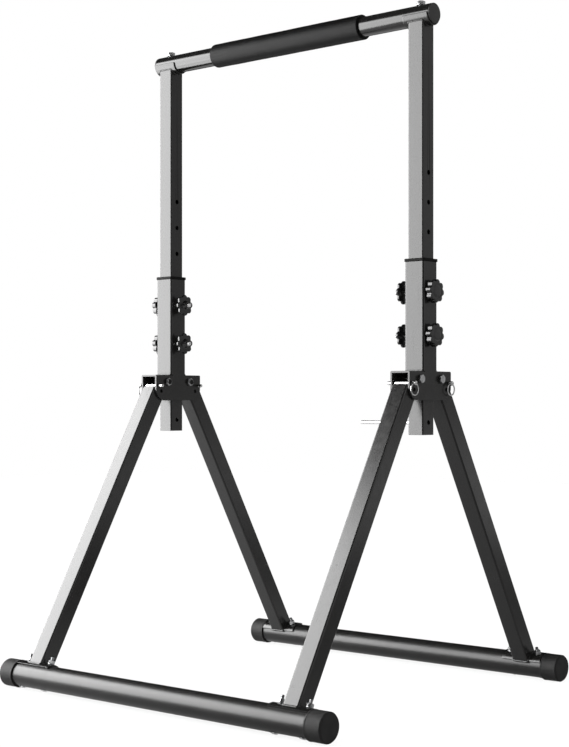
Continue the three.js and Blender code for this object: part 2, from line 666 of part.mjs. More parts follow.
// Rubber cap over a base tube's end, flat where it stands on the floor
function baseCap() {
  const bore = BASE_RADIUS + SEAT_GAP;
  const cup = revolved([
    [0, -CAP_END], [bore, -CAP_END], [bore, -CAP_LENGTH], [CAP_RADIUS, -CAP_LENGTH],
    [CAP_RADIUS, -CAP_CHAMFER], [CAP_RADIUS - CAP_CHAMFER, 0], [0, 0],
  ], 'x');
  const floor = new THREE.BoxGeometry(2 * CAP_LENGTH + OVERRUN, 2 * CAP_RADIUS, CAP_RADIUS);
  floor.translate(0, 0, -baseZ - CAP_RADIUS / 2);
  return cup.subtract(solid(floor));
}

for (const [end, way] of Object.entries(ENDS)) {
  const facing = end === 'front' ? Math.PI : 0;
  add(`base_tube_${end}`, baseTube(), paint(), [0, way * baseY, baseZ], facing);
  for (const [side, sign] of Object.entries(SIDES)) {
    add(`leg_${side}_${end}`, leg(), paint(), [sign * postX, way * pivotY, pivotZ], facing, legSplay);
    const capPlace = [sign * baseLength / 2, way * baseY, baseZ];
    add(`base_cap_${side}_${end}`, baseCap(), rubber(), capPlace, outward(side));
    for (const [place, shift] of [['inner', -footBoltX], ['outer', footBoltX]]) {
      const boltPlace = [sign * (postX + shift), way * baseY, baseZ];
      add(`foot_bolt_${side}_${end}_${place}`, footBolt(), zinc(), boltPlace, facing, FOOT_TILT);
    }
  }
}

export default stand;
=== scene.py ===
"""Foldable bar stand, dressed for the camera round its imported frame.

Sizes are in millimetres and become metres when a form turns into a piece. The frame gives the
places that several pieces share. Left is -X, right +X, front -Y, back +Y, up +Z.
"""

import json
import logging
import math
from collections.abc import Callable, Sequence
from dataclasses import dataclass
from enum import Enum
from functools import cached_property, reduce
from typing import Any

import bmesh
import bpy
from mathutils import Matrix, Vector, noise


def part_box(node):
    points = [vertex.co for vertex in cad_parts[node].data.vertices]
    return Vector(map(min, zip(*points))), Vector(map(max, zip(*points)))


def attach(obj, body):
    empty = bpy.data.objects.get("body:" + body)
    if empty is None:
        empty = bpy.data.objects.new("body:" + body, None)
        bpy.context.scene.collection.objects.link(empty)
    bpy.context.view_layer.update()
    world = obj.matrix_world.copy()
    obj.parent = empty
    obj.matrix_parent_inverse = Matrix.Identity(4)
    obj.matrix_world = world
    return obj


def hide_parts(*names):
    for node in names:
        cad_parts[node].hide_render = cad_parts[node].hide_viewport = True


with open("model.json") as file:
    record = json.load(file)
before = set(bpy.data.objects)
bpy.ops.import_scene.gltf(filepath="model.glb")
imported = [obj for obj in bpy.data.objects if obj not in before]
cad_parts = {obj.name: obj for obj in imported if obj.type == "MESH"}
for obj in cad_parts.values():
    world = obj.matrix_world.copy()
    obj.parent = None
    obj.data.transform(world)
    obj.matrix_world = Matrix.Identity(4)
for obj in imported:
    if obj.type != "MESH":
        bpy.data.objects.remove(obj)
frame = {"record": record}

LOG = logging.getLogger("bar_stand")
MM = 0.001
FULL_TURN = 2 * math.pi
HALF_TURN = math.pi
QUARTER_TURN = math.pi / 2
WHITE = (1, 1, 1, 1)
# Rounding on the ends of cutting tools and of hidden parts
SLIVER = 0.1

Outline = list[tuple[float, float]]
Ring = list[Vector]


class Option(Enum):
    """A choice whose name stands in the names of nodes."""

    @property
    def word(self) -> str:
        """The name in small letters."""
        return self.name.lower()


class Side(Option):
    """The left and right halves of the stand."""

    LEFT = -1
    RIGHT = 1

    @property
    def turn(self) -> float:
        """Turn about the vertical of a form that is made for the right."""
        return 0.0 if self is Side.RIGHT else HALF_TURN


class End(Option):
    """The front and back halves of the stand."""

    FRONT = -1
    BACK = 1

    @property
    def turn(self) -> float:
        """Turn about the vertical of a form that is made for the back."""
        return HALF_TURN if self is End.FRONT else 0.0


class Reach(Option):
    """Which side of its post a thing is on: away from the other post, or towards it."""

    OUTER = 1
    INNER = -1


class Level(Option):
    """The two heights of the knobs."""

    UPPER = 1
    LOWER = -1


class Slot(Enum):
    """The record's material slots."""

    PAINT = "paint"
    CHROME = "chrome"
    ZINC = "zinc"
    PLASTIC = "plastic"
    RUBBER = "rubber"
    FOAM = "foam"


# Outlines and forms


def arc(radius: float, start: float, sweep: float, steps: int,
        centre: tuple[float, float] = (0.0, 0.0)) -> Outline:
    """Points along an arc, with both its ends.

    Args:
        radius: Radius of the arc.
        start: Angle of the first point.
        sweep: Angle from the first point to the last.
        steps: Straight pieces between them.
        centre: Middle of the arc's circle.

    Returns:
        The points.
    """
    angles = [start + sweep * k / steps for k in range(steps + 1)]
    return [(centre[0] + radius * math.cos(a), centre[1] + radius * math.sin(a)) for a in angles]


def circle(radius: float, sides: int, phase: float = 0.0) -> Outline:
    """Points round a circle about the origin."""
    return arc(radius, phase, FULL_TURN, sides)[:-1]


def curved_plate(outer: float, inner: float, start: float, sweep: float, steps: int) -> Outline:
    """A plate's section, curved about the origin between two radii."""
    return arc(outer, start, sweep, steps) + arc(inner, start, sweep, steps)[::-1]


def rounded_square(width: float, corner: float, flats: int = 1) -> Outline:
    """A square about the origin with rounded corners.

    Args:
        width: Across the flats.
        corner: Radius of the corners.
        flats: Straight pieces in each side.

    Returns:
        The points, anticlockwise.
    """
    steps = 7
    inset = width / 2 - corner
    points = []
    for quarter in range(4):
        start = quarter * QUARTER_TURN
        centre = Matrix.Rotation(start, 2) @ Vector((inset, inset))
        points += arc(corner, start, QUARTER_TURN, steps, tuple(centre))
        last = Vector(points[-1])
        following = Matrix.Rotation(start + QUARTER_TURN, 2) @ Vector((inset + corner, inset))
        points += [tuple(last.lerp(following, part / flats)) for part in range(1, flats)]
    return points


def softened(points: Outline, radius: float, closed: bool = False, steps: int = 4) -> Outline:
    """Rounds the corners of a line of points.

    Args:
        points: The line, with sharp corners.
        radius: Radius of the rounding, smaller where a side is short.
        closed: Whether the last point joins the first.
        steps: Straight pieces in each rounded corner.

    Returns:
        The line with an arc at every corner.
    """
    nearly_straight, most_of_half = math.radians(88), 0.48
    line = [Vector(point) for point in points]
    count = len(line)
    soft = []
    for k, corner in enumerate(line):
        before, after = line[k - 1] - corner, line[(k + 1) % count] - corner
        at_end = not closed and k in (0, count - 1)
        half_angle = QUARTER_TURN if at_end else before.angle(after, HALF_TURN) / 2
        if half_angle > nearly_straight:
            soft.append(tuple(corner))
            continue
        room = most_of_half * min(before.length, after.length)
        setback = min(radius / math.tan(half_angle), room)
        true_radius = setback * math.tan(half_angle)
        inward = (before.normalized() + after.normalized()).normalized()
        centre = corner + inward * (true_radius / math.sin(half_angle))
        first = corner + before.normalized() * setback - centre
        last = corner + after.normalized() * setback - centre
        sweep = first.angle_signed(last)
        for step in range(steps + 1):
            arm = Matrix.Rotation(-sweep * step / steps, 2) @ first
            soft.append(tuple(centre + arm))
    return soft


def at_height(outline: Outline, height: float) -> Ring:
    """An outline of the XY plane lifted to a height."""
    return [Vector((x, y, height)) for x, y in outline]


@dataclass(frozen=True)
class Form:
    """Closed surfaces as points in millimetres and the faces between them."""

    points: tuple[Vector, ...]
    faces: tuple[tuple[int, ...], ...]

    def __add__(self, other: "Form") -> "Form":
        """Both forms side by side in one."""
        first = len(self.points)
        faces = tuple(tuple(first + k for k in face) for face in other.faces)
        return Form(self.points + other.points, self.faces + faces)

    def placed(self, matrix: Matrix) -> "Form":
        """The form moved by a matrix."""
        return self.shaped(lambda point: matrix @ point)

    def shaped(self, rule: Callable[[Vector], Vector]) -> "Form":
        """The form with every point moved by a rule."""
        return Form(tuple(rule(point) for point in self.points), self.faces)

    def mesh(self, name: str, scale: float = 1.0) -> bpy.types.Mesh:
        """Makes a Blender mesh with its normals outward.

        Args:
            name: Name of the mesh.
            scale: What each coordinate is multiplied by.

        Returns:
            The new mesh.
        """
        mesh = bpy.data.meshes.new(name)
        mesh.from_pydata([tuple(point * scale) for point in self.points], [], self.faces)
        shell = bmesh.new()
        shell.from_mesh(mesh)
        bmesh.ops.recalc_face_normals(shell, faces=shell.faces)
        shell.to_mesh(mesh)
        shell.free()
        return mesh


def skin(rings: Sequence[Ring], looped: bool = False) -> Form:
    """Stretches a skin over rings that have the same number of points.

    Args:
        rings: The rings in order; a ring of one point is a pole.
        looped: Whether the last ring joins the first. If not, the ends are closed.

    Returns:
        The closed form.
    """
    points, starts = [], []
    for ring in rings:
        starts.append(len(points))
        points.extend(ring)
    pairs = [(k, k + 1) for k in range(len(rings) - 1)]
    if looped:
        pairs.append((len(rings) - 1, 0))
    faces = []
    for low, high in pairs:
        count = max(len(rings[low]), len(rings[high]))
        for k in range(count):
            following = (k + 1) % count
            if len(rings[low]) == 1:
                faces.append((starts[low], starts[high] + following, starts[high] + k))
            elif len(rings[high]) == 1:
                faces.append((starts[low] + k, starts[low] + following, starts[high]))
            else:
                faces.append((starts[low] + k, starts[low] + following,
                              starts[high] + following, starts[high] + k))
    if not looped:
        for k in (0, len(rings) - 1):
            if len(rings[k]) > 1:
                faces.append(tuple(range(starts[k], starts[k] + len(rings[k]))))
    return Form(tuple(points), tuple(faces))


def lathe(profile: Outline, sides: int, looped: bool = False) -> Form:
    """Turns a profile of (radius, height) points about the Z axis."""
    return skin([at_height(circle(radius, sides) if radius else [(0, 0)], height)
                 for radius, height in profile], looped)


def rod(radius: float, start: float, end: float, edge: float, sides: int = 48) -> Form:
    """A round bar along Z with rounded edges."""
    return lathe(softened([(0, start), (radius, start), (radius, end), (0, end)], edge), sides)


def pipe(radius: float, bore: float, start: float, end: float, edge: float, sides: int) -> Form:
    """A round tube along Z with rounded edges at both ends."""
    wall = [(bore, start), (radius, start), (radius, end), (bore, end)]
    return lathe(softened(wall, edge, closed=True, steps=2), sides, looped=True)


def square_pipe(width: float, wall: float, corner: float, bottom: float, top: float,
                lip: float = 0.4) -> Form:
    """An upright square tube.

    Args:
        width: Across the outer flats.
        wall: Thickness of the wall.
        corner: Radius of the outer corners.
        bottom: Height of the lower end.
        top: Height of the upper end.
        lip: Width of the broken edges at both ends.

    Returns:
        The tube about the Z axis.
    """
    bore = width - 2 * wall
    inner_corner = max(corner - wall, lip)
    outer = rounded_square(width, corner)
    outer_lip = rounded_square(width - 2 * lip, corner - lip)
    inner = rounded_square(bore, inner_corner)
    inner_lip = rounded_square(bore + 2 * lip, inner_corner + lip)
    levels = [(outer, bottom + lip), (outer, top - lip), (outer_lip, top), (inner_lip, top),
              (inner, top - lip), (inner, bottom + lip), (inner_lip, bottom), (outer_lip, bottom)]
    return skin([at_height(outline, height) for outline, height in levels], looped=True)


def hex_block(across_flats: float, start: float, end: float) -> Form:
    """A hexagon along Z whose corners are turned off at both ends, as on nuts and bolt heads.

    Args:
        across_flats: Width across two flats.
        start: Lower end.
        end: Upper end.

    Returns:
        The form about the Z axis.
    """
    steps, sixth, slope, face_share = 8, FULL_TURN / 6, math.tan(math.radians(30)), 0.96
    face_radius = across_flats / 2 * face_share
    rings = [[], [], [], []]
    for k in range(6 * steps):
        angle = sixth * k / steps
        off_flat = (angle % sixth) - sixth / 2
        radius = across_flats / 2 / math.cos(off_flat)
        drop = (radius - face_radius) * slope
        direction = Vector((math.cos(angle), math.sin(angle), 0))
        levels = [(face_radius, start), (radius, start + drop), (radius, end - drop), (face_radius, end)]
        for ring, (arm, height) in zip(rings, levels):
            ring.append(direction * arm + Vector((0, 0, height)))
    return skin(rings)


def threaded(radius: float, start: float, end: float, pitch: float = 1.5) -> Form:
    """A screw thread along Z with chamfered ends.

    Args:
        radius: Radius over the crests.
        start: Lower end.
        end: Upper end.
        pitch: Rise of one turn.

    Returns:
        The threaded bar.
    """
    depth, sides, rows_in_turn, crest_sharpness, tip_inset = 0.85, 32, 6, 1.25, 0.2
    rows = math.ceil((end - start) / pitch * rows_in_turn)
    rings = []
    for row in range(rows + 1):
        height = start + (end - start) * row / rows
        room = radius - depth - tip_inset + min(height - start, end - height)
        ring = []
        for k in range(sides):
            share = (height / pitch - k / sides) % 1
            groove = depth * min(1, crest_sharpness * abs(2 * share - 1))
            reach = min(radius - groove, room)
            angle = FULL_TURN * k / sides
            ring.append(Vector((reach * math.cos(angle), reach * math.sin(angle), height)))
        rings.append(ring)
    return skin(rings)


def evenly_spaced(path: Ring, gap: float, closed: bool) -> Ring:
    """Puts points at equal distances along a line of points.

    Args:
        path: The line.
        gap: Wanted distance between two points.
        closed: Whether the last point joins the first.

    Returns:
        The new points.
    """
    stops = list(path) + ([path[0]] if closed else [])
    lengths = [(b - a).length for a, b in zip(stops, stops[1:])]
    total = sum(lengths)
    count = max(4, round(total / gap))
    spaced = []
    for k in range(count + (0 if closed else 1)):
        left = total * k / count
        leg = 0
        while leg < len(lengths) - 1 and left > lengths[leg]:
            left -= lengths[leg]
            leg += 1
        spaced.append(stops[leg].lerp(stops[leg + 1], min(1.0, left / max(lengths[leg], MM))))
    return spaced


def weld_bead(path: Ring, radius: float, closed: bool = True) -> Form:
    """A weld bead along a path, with the scales that the moving torch leaves.

    Args:
        path: Corners of the path in millimetres.
        radius: Half the bead's width.
        closed: Whether the bead runs round and back to its start.

    Returns:
        The bead.
    """
    scale_pitch, scale_depth, gap, sides = 3.2, 0.16, 0.8, 10
    unevenness, unevenness_scale = 0.1, 0.12
    spine = evenly_spaced(path, gap, closed)
    count = len(spine)
    rings = []
    for k, point in enumerate(spine):
        before = spine[k - 1] if closed or k else point
        after = spine[(k + 1) % count] if closed or k < count - 1 else point
        along = (after - before).normalized()
        across = along.cross(Vector((0, 0, 1))).normalized()
        upward = across.cross(along)
        wave = (k * gap / scale_pitch) % 1
        swell = 1 + unevenness * noise.noise(point * unevenness_scale)
        size = radius * (1 - scale_depth * (1 - wave)) * swell
        rings.append([point + (across * math.cos(a) + upward * math.sin(a)) * size
                      for a in (FULL_TURN * s / sides for s in range(sides))])
    return skin(rings, looped=closed)


class Cut(Enum):
    """What is kept when one form meets another."""

    REST = "DIFFERENCE"
    COMMON = "INTERSECT"


def linked(name: str, data: bpy.types.ID) -> bpy.types.Object:
    """A new object in the scene with its data."""
    item = bpy.data.objects.new(name, data)
    bpy.context.scene.collection.objects.link(item)
    return item


def evaluated_mesh(item: bpy.types.Object) -> bpy.types.Mesh:
    """The object's mesh with its modifiers applied."""
    bpy.context.view_layer.update()
    graph = bpy.context.evaluated_depsgraph_get()
    return bpy.data.meshes.new_from_object(item.evaluated_get(graph))


def cut(body: Form, tool: Form, kept: Cut = Cut.REST) -> Form:
    """Cuts a form with another.

    Args:
        body: What is cut.
        tool: What cuts it; its parts don't meet each other.
        kept: Which part stays.

    Returns:
        The part that stays.
    """
    items = [linked(name, form.mesh(name)) for name, form in (("blank", body), ("cutter", tool))]
    modifier = items[0].modifiers.new("cut", "BOOLEAN")
    modifier.operation = kept.value
    modifier.solver = "EXACT"
    modifier.object = items[1]
    mesh = evaluated_mesh(items[0])
    points = tuple(vertex.co.copy() for vertex in mesh.vertices)
    faces = tuple(tuple(face.vertices) for face in mesh.polygons)
    used = [mesh] + [item.data for item in items]
    for item in items:
        bpy.data.objects.remove(item)
    for data in used:
        bpy.data.meshes.remove(data)
    return Form(points, faces)


def along_x() -> Matrix:
    """Turns a form made along Z so that it runs along X."""
    return Matrix.Rotation(QUARTER_TURN, 4, "Y")


def along_y() -> Matrix:
    """Turns a form made along Z so that it runs along Y."""
    return Matrix.Rotation(-QUARTER_TURN, 4, "X")


def moved(x: float = 0.0, y: float = 0.0, z: float = 0.0) -> Matrix:
    """A move along the axes."""
    return Matrix.Translation((x, y, z))


def place(x: float, y: float, z: float, turn: float, tilt: float = 0.0) -> Matrix:
    """A place, with a turn about the vertical that comes after a tilt about X."""
    return moved(x, y, z) @ Matrix.Rotation(turn, 4, "Z") @ Matrix.Rotation(tilt, 4, "X")


def drilled(body: Form, radius: float, reach: float, sides: int, spots: Outline) -> Form:
    """Drills through a form along X.

    Args:
        body: What is drilled.
        radius: Radius of the drill.
        reach: Half the drill's length.
        sides: Straight pieces round the drill.
        spots: Where the holes are, as (y, z).

    Returns:
        The form with its holes.
    """
    drill = rod(radius, -reach, reach, SLIVER, sides).placed(along_x())
    for y, z in spots:
        body = cut(body, drill.placed(moved(y=y, z=z)))
    return body


def sideways(outline: Outline, width: float) -> Form:
    """Stretches an outline of the YZ plane over a width along X, centred on the plane."""
    return skin([[Vector((x, y, z)) for y, z in outline] for x in (-width / 2, width / 2)])


# Shader graphs


class Value:
    """A node's output, for expressions whose operators add Math nodes."""

    def __init__(self, graph: "Graph", socket: bpy.types.NodeSocket) -> None:
        """Keeps the graph and the socket."""
        self.graph = graph
        self.socket = socket

    def _math(self, operation: str, first: Any, second: Any) -> "Value":
        """Adds a Math node for two values or numbers."""
        return self.graph.node("ShaderNodeMath", {0: first, 1: second}, operation=operation)

    def __add__(self, other: Any) -> "Value":
        """Sum."""
        return self._math("ADD", self, other)

    __radd__ = __add__

    def __sub__(self, other: Any) -> "Value":
        """Difference."""
        return self._math("SUBTRACT", self, other)

    def __rsub__(self, other: Any) -> "Value":
        """Difference with the number first."""
        return self._math("SUBTRACT", other, self)

    def __mul__(self, other: Any) -> "Value":
        """Product."""
        return self._math("MULTIPLY", self, other)

    def clipped(self, low: float, high: float) -> "Value":
        """Where the value lies between two numbers, as 0 to 1."""
        inputs = {"Value": self, "From Min": low, "From Max": high}
        return self.graph.node("ShaderNodeMapRange", inputs, clamp=True)

    def greater(self, other: Any) -> "Value":
        """The larger of two values."""
        return self._math("MAXIMUM", self, other)


class Graph:
    """The nodes of one material or world."""

    def __init__(self, tree: bpy.types.NodeTree) -> None:
        """Empties the tree."""
        self.tree = tree
        tree.nodes.clear()

    def node(self, kind: str, inputs: dict[Any, Any], output: int | str = 0, **settings: Any) -> Value:
        """Adds a node and gives one of its outputs.

        Args:
            kind: Blender's type of node.
            inputs: What its sockets get, by name or number: a number, a colour or an output.
            output: Name or number of the output.
            **settings: The node's own settings, set first.

        Returns:
            The output.
        """
        node = self.tree.nodes.new(kind)
        for name, setting in settings.items():
            setattr(node, name, setting)
        for key, given in inputs.items():
            if isinstance(given, Value):
                self.tree.links.new(given.socket, node.inputs[key])
            else:
                node.inputs[key].default_value = given
        return Value(self, node.outputs[output])

    def end(self, shader: Value, kind: str = "ShaderNodeOutputMaterial") -> None:
        """Ends the graph in a shader."""
        output = self.tree.nodes.new(kind)
        self.tree.links.new(shader.socket, output.inputs["Surface"])

    def place_on_object(self) -> Value:
        """Where on the object a point lies, in metres of the frame."""
        return self.node("ShaderNodeTexCoord", {}, "Object")

    def along(self, axis: int) -> Value:
        """One coordinate of the place on the object."""
        return self.node("ShaderNodeSeparateXYZ", {"Vector": self.place_on_object()}, axis)

    def clouds(self, scale: float, detail: float = 3.0, roughness: float = 0.5,
               stretch: tuple[float, float, float] | None = None) -> Value:
        """Soft noise.

        Args:
            scale: Clouds to a metre.
            detail: Layers of finer noise.
            roughness: Strength of each finer layer.
            stretch: What the place is multiplied by along each axis first.

        Returns:
            The noise, from 0 to 1.
        """
        where = self.place_on_object()
        if stretch:
            where = self.node("ShaderNodeMapping", {"Vector": where, "Scale": stretch})
        inputs = {"Vector": where, "Scale": scale, "Detail": detail, "Roughness": roughness}
        return self.node("ShaderNodeTexNoise", inputs, "Fac")

    def cells(self, scale: float) -> Value:
        """Distance to the nearest cell's middle, with so many cells to a metre."""
        inputs = {"Vector": self.place_on_object(), "Scale": scale}
        return self.node("ShaderNodeTexVoronoi", inputs, "Distance", feature="F1")

    def greys(self, first: float, second: float, share: Value, first_warmth: float = 0.0,
              second_warmth: float = 0.0) -> Value:
        """A grey between two, each a little warmer or cooler than plain grey.

        Args:
            first: Level of the first grey.
            second: Level of the second.
            share: Where between them the grey lies, from 0 to 1.
            first_warmth: What the first grey's red gains and its blue loses, as a share.
            second_warmth: The same for the second.

        Returns:
            The colour.
        """
        colours = [(level * (1 + warmth), level, level * (1 - warmth), 1)
                   for level, warmth in ((first, first_warmth), (second, second_warmth))]
        return self.node("ShaderNodeMix", {0: share, 6: colours[0], 7: colours[1]}, 2, data_type="RGBA")

    def bumps(self, height: Value, depth: float) -> Value:
        """A normal from a height, whose full step is as deep as given, in metres."""
        inputs = {"Height": height, "Distance": depth, "Strength": 1.0}
        return self.node("ShaderNodeBump", inputs, "Normal")

    def light(self, strength: Any) -> Value:
        """A white glow."""
        return self.node("ShaderNodeEmission", {"Color": WHITE, "Strength": strength})

    def seen_by(self, *kinds: str) -> Value:
        """1 for rays of the given kinds, by Light Path's names for them."""
        seen = [self.node("ShaderNodeLightPath", {}, f"Is {kind} Ray") for kind in kinds]
        return reduce(Value.greater, seen)


def new_graph(name: str) -> tuple[bpy.types.Material, Graph]:
    """A new material and its empty graph."""
    material = bpy.data.materials.new(name)
    material.use_nodes = True
    return material, Graph(material.node_tree)


# Finishes


@dataclass(frozen=True)
class Finish:
    """What a piece is coated with or made of."""

    name: str
    slot: Slot

    def inputs(self, graph: Graph) -> dict[str, Any]:
        """What the Principled shader gets."""
        raise NotImplementedError

    @cached_property
    def material(self) -> bpy.types.Material:
        """The finish as a material."""
        material, graph = new_graph(self.name)
        graph.end(graph.node("ShaderNodeBsdfPrincipled", self.inputs(graph), "BSDF"))
        return material


@dataclass(frozen=True)
class PowderCoat(Finish):
    """Semi-gloss black powder coat: fine orange peel, haze and faint scuffs."""

    name: str = "black_powder_coat"
    slot: Slot = Slot.PAINT
    base: float = 0.0105
    roughness: float = 0.2
    specular: float = 0.42
    peel_depth: float = 0.000022

    def inputs(self, graph: Graph) -> dict[str, Any]:
        """What the Principled shader gets."""
        peel_scale = 620
        drift = graph.clouds(14, 4)
        haze = graph.clouds(60, 5, 0.65).clipped(0.42, 0.72)
        scratch = graph.clouds(90, 4, 0.6, (1, 1, 0.07)).clipped(0.62, 0.75)
        peel = graph.clouds(peel_scale, 2, 0.4)
        fine = graph.clouds(peel_scale * 3.3, 1, 0.4)
        return {
            "Base Color": graph.greys(self.base, self.base * 1.5, drift, 0.02, 0.03),
            "Roughness": self.roughness + haze * 0.05 + scratch * 0.09,
            "Specular IOR Level": self.specular,
            "Normal": graph.bumps(peel + fine * 0.25, self.peel_depth),
        }


@dataclass(frozen=True)
class Chrome(Finish):
    """Bright chrome with a breath of haze and hair-fine wiping marks."""

    name: str = "bright_chrome"
    slot: Slot = Slot.CHROME

    def inputs(self, graph: Graph) -> dict[str, Any]:
        """What the Principled shader gets."""
        level = 0.78
        haze = graph.clouds(120, 4)
        wiping = graph.clouds(420, 3, 0.6, (0.12, 1, 1))
        return {
            "Base Color": graph.greys(level * 0.93, level, haze, 0.004, -0.004),
            "Metallic": 1.0,
            "Roughness": 0.07 + haze * 0.06 + wiping * 0.04,
            "Normal": graph.bumps(wiping, 0.0000025),
        }


@dataclass(frozen=True)
class Zinc(Finish):
    """Zinc plate on fasteners: a soft grey sheen, mottled in small patches."""

    name: str = "zinc_plate"
    slot: Slot = Slot.ZINC

    def inputs(self, graph: Graph) -> dict[str, Any]:
        """What the Principled shader gets."""
        level = 0.5
        patches = graph.cells(340)
        cloudy = graph.clouds(210, 5, 0.6)
        mottling = cloudy.clipped(0.3, 0.7)
        return {
            "Base Color": graph.greys(level * 0.72, level * 1.15, mottling, -0.012, -0.006),
            "Metallic": 1.0,
            "Roughness": 0.27 + patches * 0.12 + cloudy * 0.08,
            "Normal": graph.bumps(cloudy, 0.00001),
        }


@dataclass(frozen=True)
class Moulded(Finish):
    """Black moulded plastic with a fine spark-eroded grain, and other dull or glossy blacks."""

    name: str = "moulded_black"
    slot: Slot = Slot.PLASTIC
    base: float = 0.006
    roughness: float = 0.1
    specular: float = 0.55
    grain_depth: float = 0.00004

    def inputs(self, graph: Graph) -> dict[str, Any]:
        """What the Principled shader gets."""
        drift = graph.clouds(45, 4)
        rub = graph.clouds(130, 5, 0.7).clipped(0.5, 0.75)
        grain = graph.clouds(1500, 2, 0.6)
        return {
            "Base Color": graph.greys(self.base, self.base * 1.7, drift, 0.0, 0.02),
            "Roughness": self.roughness + grain * 0.1 - rub * 0.07,
            "Specular IOR Level": self.specular,
            "Normal": graph.bumps(grain, self.grain_depth),
        }


@dataclass(frozen=True)
class Rubber(Finish):
    """Matt black rubber with a little bloom."""

    name: str = "matt_rubber"
    slot: Slot = Slot.RUBBER

    def inputs(self, graph: Graph) -> dict[str, Any]:
        """What the Principled shader gets."""
        base = 0.009
        bloom = graph.clouds(38, 6, 0.65).clipped(0.4, 0.8)
        grain = graph.clouds(1100, 3, 0.65)
        return {
            "Base Color": graph.greys(base, base * 2.1, bloom, 0.0, 0.03),
            "Roughness": 0.58 + grain * 0.14,
            "Specular IOR Level": 0.25,
            "Normal": graph.bumps(grain, 0.00007),
        }


@dataclass(frozen=True)
class Foam(Finish):
    """Closed-cell foam: dull black skin with the tiny cells showing."""

    name: str = "grip_foam"
    slot: Slot = Slot.FOAM

    def inputs(self, graph: Graph) -> dict[str, Any]:
        """What the Principled shader gets."""
        base = 0.003
        cells = graph.cells(1150)
        soft = graph.clouds(260, 4, 0.6)
        drift = graph.clouds(22, 4)
        return {
            "Base Color": graph.greys(base, base * 1.8, drift, 0.0, 0.015),
            "Roughness": 0.4 + soft * 0.12,
            "Specular IOR Level": 0.07,
            "Normal": graph.bumps(cells + soft * 0.8, 0.00016),
        }


POWDER_COAT = PowderCoat()
BAR_COAT = PowderCoat("glossy_black_powder_coat", roughness=0.14, peel_depth=0.000016)
RAIL_COAT = PowderCoat("dull_black_powder_coat", roughness=0.33, specular=0.36, peel_depth=0.00003)
CHROME = Chrome()
ZINC = Zinc()
KNOB_PLASTIC = Moulded()
COLLAR_PLASTIC = Moulded("collar_plastic", base=0.0045, roughness=0.46, specular=0.05,
                         grain_depth=0.00002)
PLUG_PLASTIC = Moulded("plug_plastic", base=0.015, roughness=0.44, specular=0.45)
# Painted shade: a near-black skin with almost no gloss, laid inside the posts to keep them dark.
SHADE_LINER_FINISH = Moulded("bare_inside", Slot.PAINT, base=0.004, roughness=0.7, specular=0.02,
                      grain_depth=0.00001)
INSERT_NYLON = Moulded("insert_nylon", Slot.ZINC, base=0.008, roughness=0.4, specular=0.1,
                       grain_depth=0.00001)
RUBBER = Rubber()
FOAM = Foam()


def piece(name: str, form: Form, finish: Finish, body: str, *nodes: str, edge: float = 0.0,
          crease: float = 33.0) -> bpy.types.Object:
    """Makes a visible piece that rides on a body of the frame.

    Args:
        name: Name of the piece.
        form: Its form, in millimetres, in the frame's place.
        finish: What it is coated with or made of.
        body: The moving body that carries it.
        *nodes: The frame's nodes that it stands for.
        edge: Width of the rounding on its sharp edges, 0 for none.
        crease: Angle in degrees above which an edge looks sharp.

    Returns:
        The piece.
    """
    item = linked(name, form.mesh(name, MM))
    if edge:
        bevel = item.modifiers.new("edges", "BEVEL")
        bevel.width = edge * MM
        bevel.segments = 2
        bevel.limit_method = "ANGLE"
        bevel.angle_limit = math.radians(crease)
        bevel.use_clamp_overlap = True
        item.data = evaluated_mesh(item)
        item.modifiers.clear()
    item.data.shade_smooth()
    item.data.set_sharp_from_angle(angle=math.radians(crease))
    weighted = item.modifiers.new("normals", "WEIGHTED_NORMAL")
    weighted.keep_sharp = True
    item.data = evaluated_mesh(item)
    item.modifiers.clear()
    item.data.name = name
    item.data.materials.append(finish.material)
    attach(item, body)
    if nodes:
        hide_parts(*nodes)
    LOG.info("%s: %d faces, rides on %s", name, len(item.data.polygons), body)
    return item


# Places that the frame gives


def span(node: str) -> tuple[Vector, Vector]:
    """Lowest and highest corner of a node, in millimetres."""
    low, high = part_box(node)
    return low / MM, high / MM


def middle(node: str) -> Vector:
    """Middle of a node's box, in millimetres."""
    low, high = span(node)
    return (low + high) / 2


def joint_place(name: str) -> Vector:
    """Where the named joint turns, in millimetres."""
    joints = frame["record"]["behaviour"]["joints"]
    return Vector(next(joint["pos_m"] for joint in joints if joint["name"] == name)) / MM


# Sizes that several sub-assemblies share


@dataclass(frozen=True)
class Stock:
    """Tubes, plates and holes of the stand."""

    post_width: float = 40.0
    post_bore_corner: float = 3.5
    slide_gap: float = 0.4
    sleeve_width: float = 50.0
    seat_gap: float = 0.3
    bolt_hole: float = 5.4
    pin_radius: float = 4.0
    pin_reach: float = 31.0
    pin_angle: float = math.radians(42.9)
    base_radius: float = 27.4
    foot_plate: float = 3.6
    foot_tilt: float = math.radians(20)

    @property
    def half_sleeve(self) -> float:
        """From a sleeve's axis to its faces."""
        return self.sleeve_width / 2

    @property
    def face(self) -> float:
        """From a sleeve's axis to what lies against its faces."""
        return self.half_sleeve + self.seat_gap

    @property
    def base_seat(self) -> float:
        """From a base tube's axis to what lies against it."""
        return self.base_radius + self.seat_gap

    @property
    def post_passage(self) -> float:
        """Width of the openings that a post slides through."""
        return self.post_width + 2 * self.slide_gap


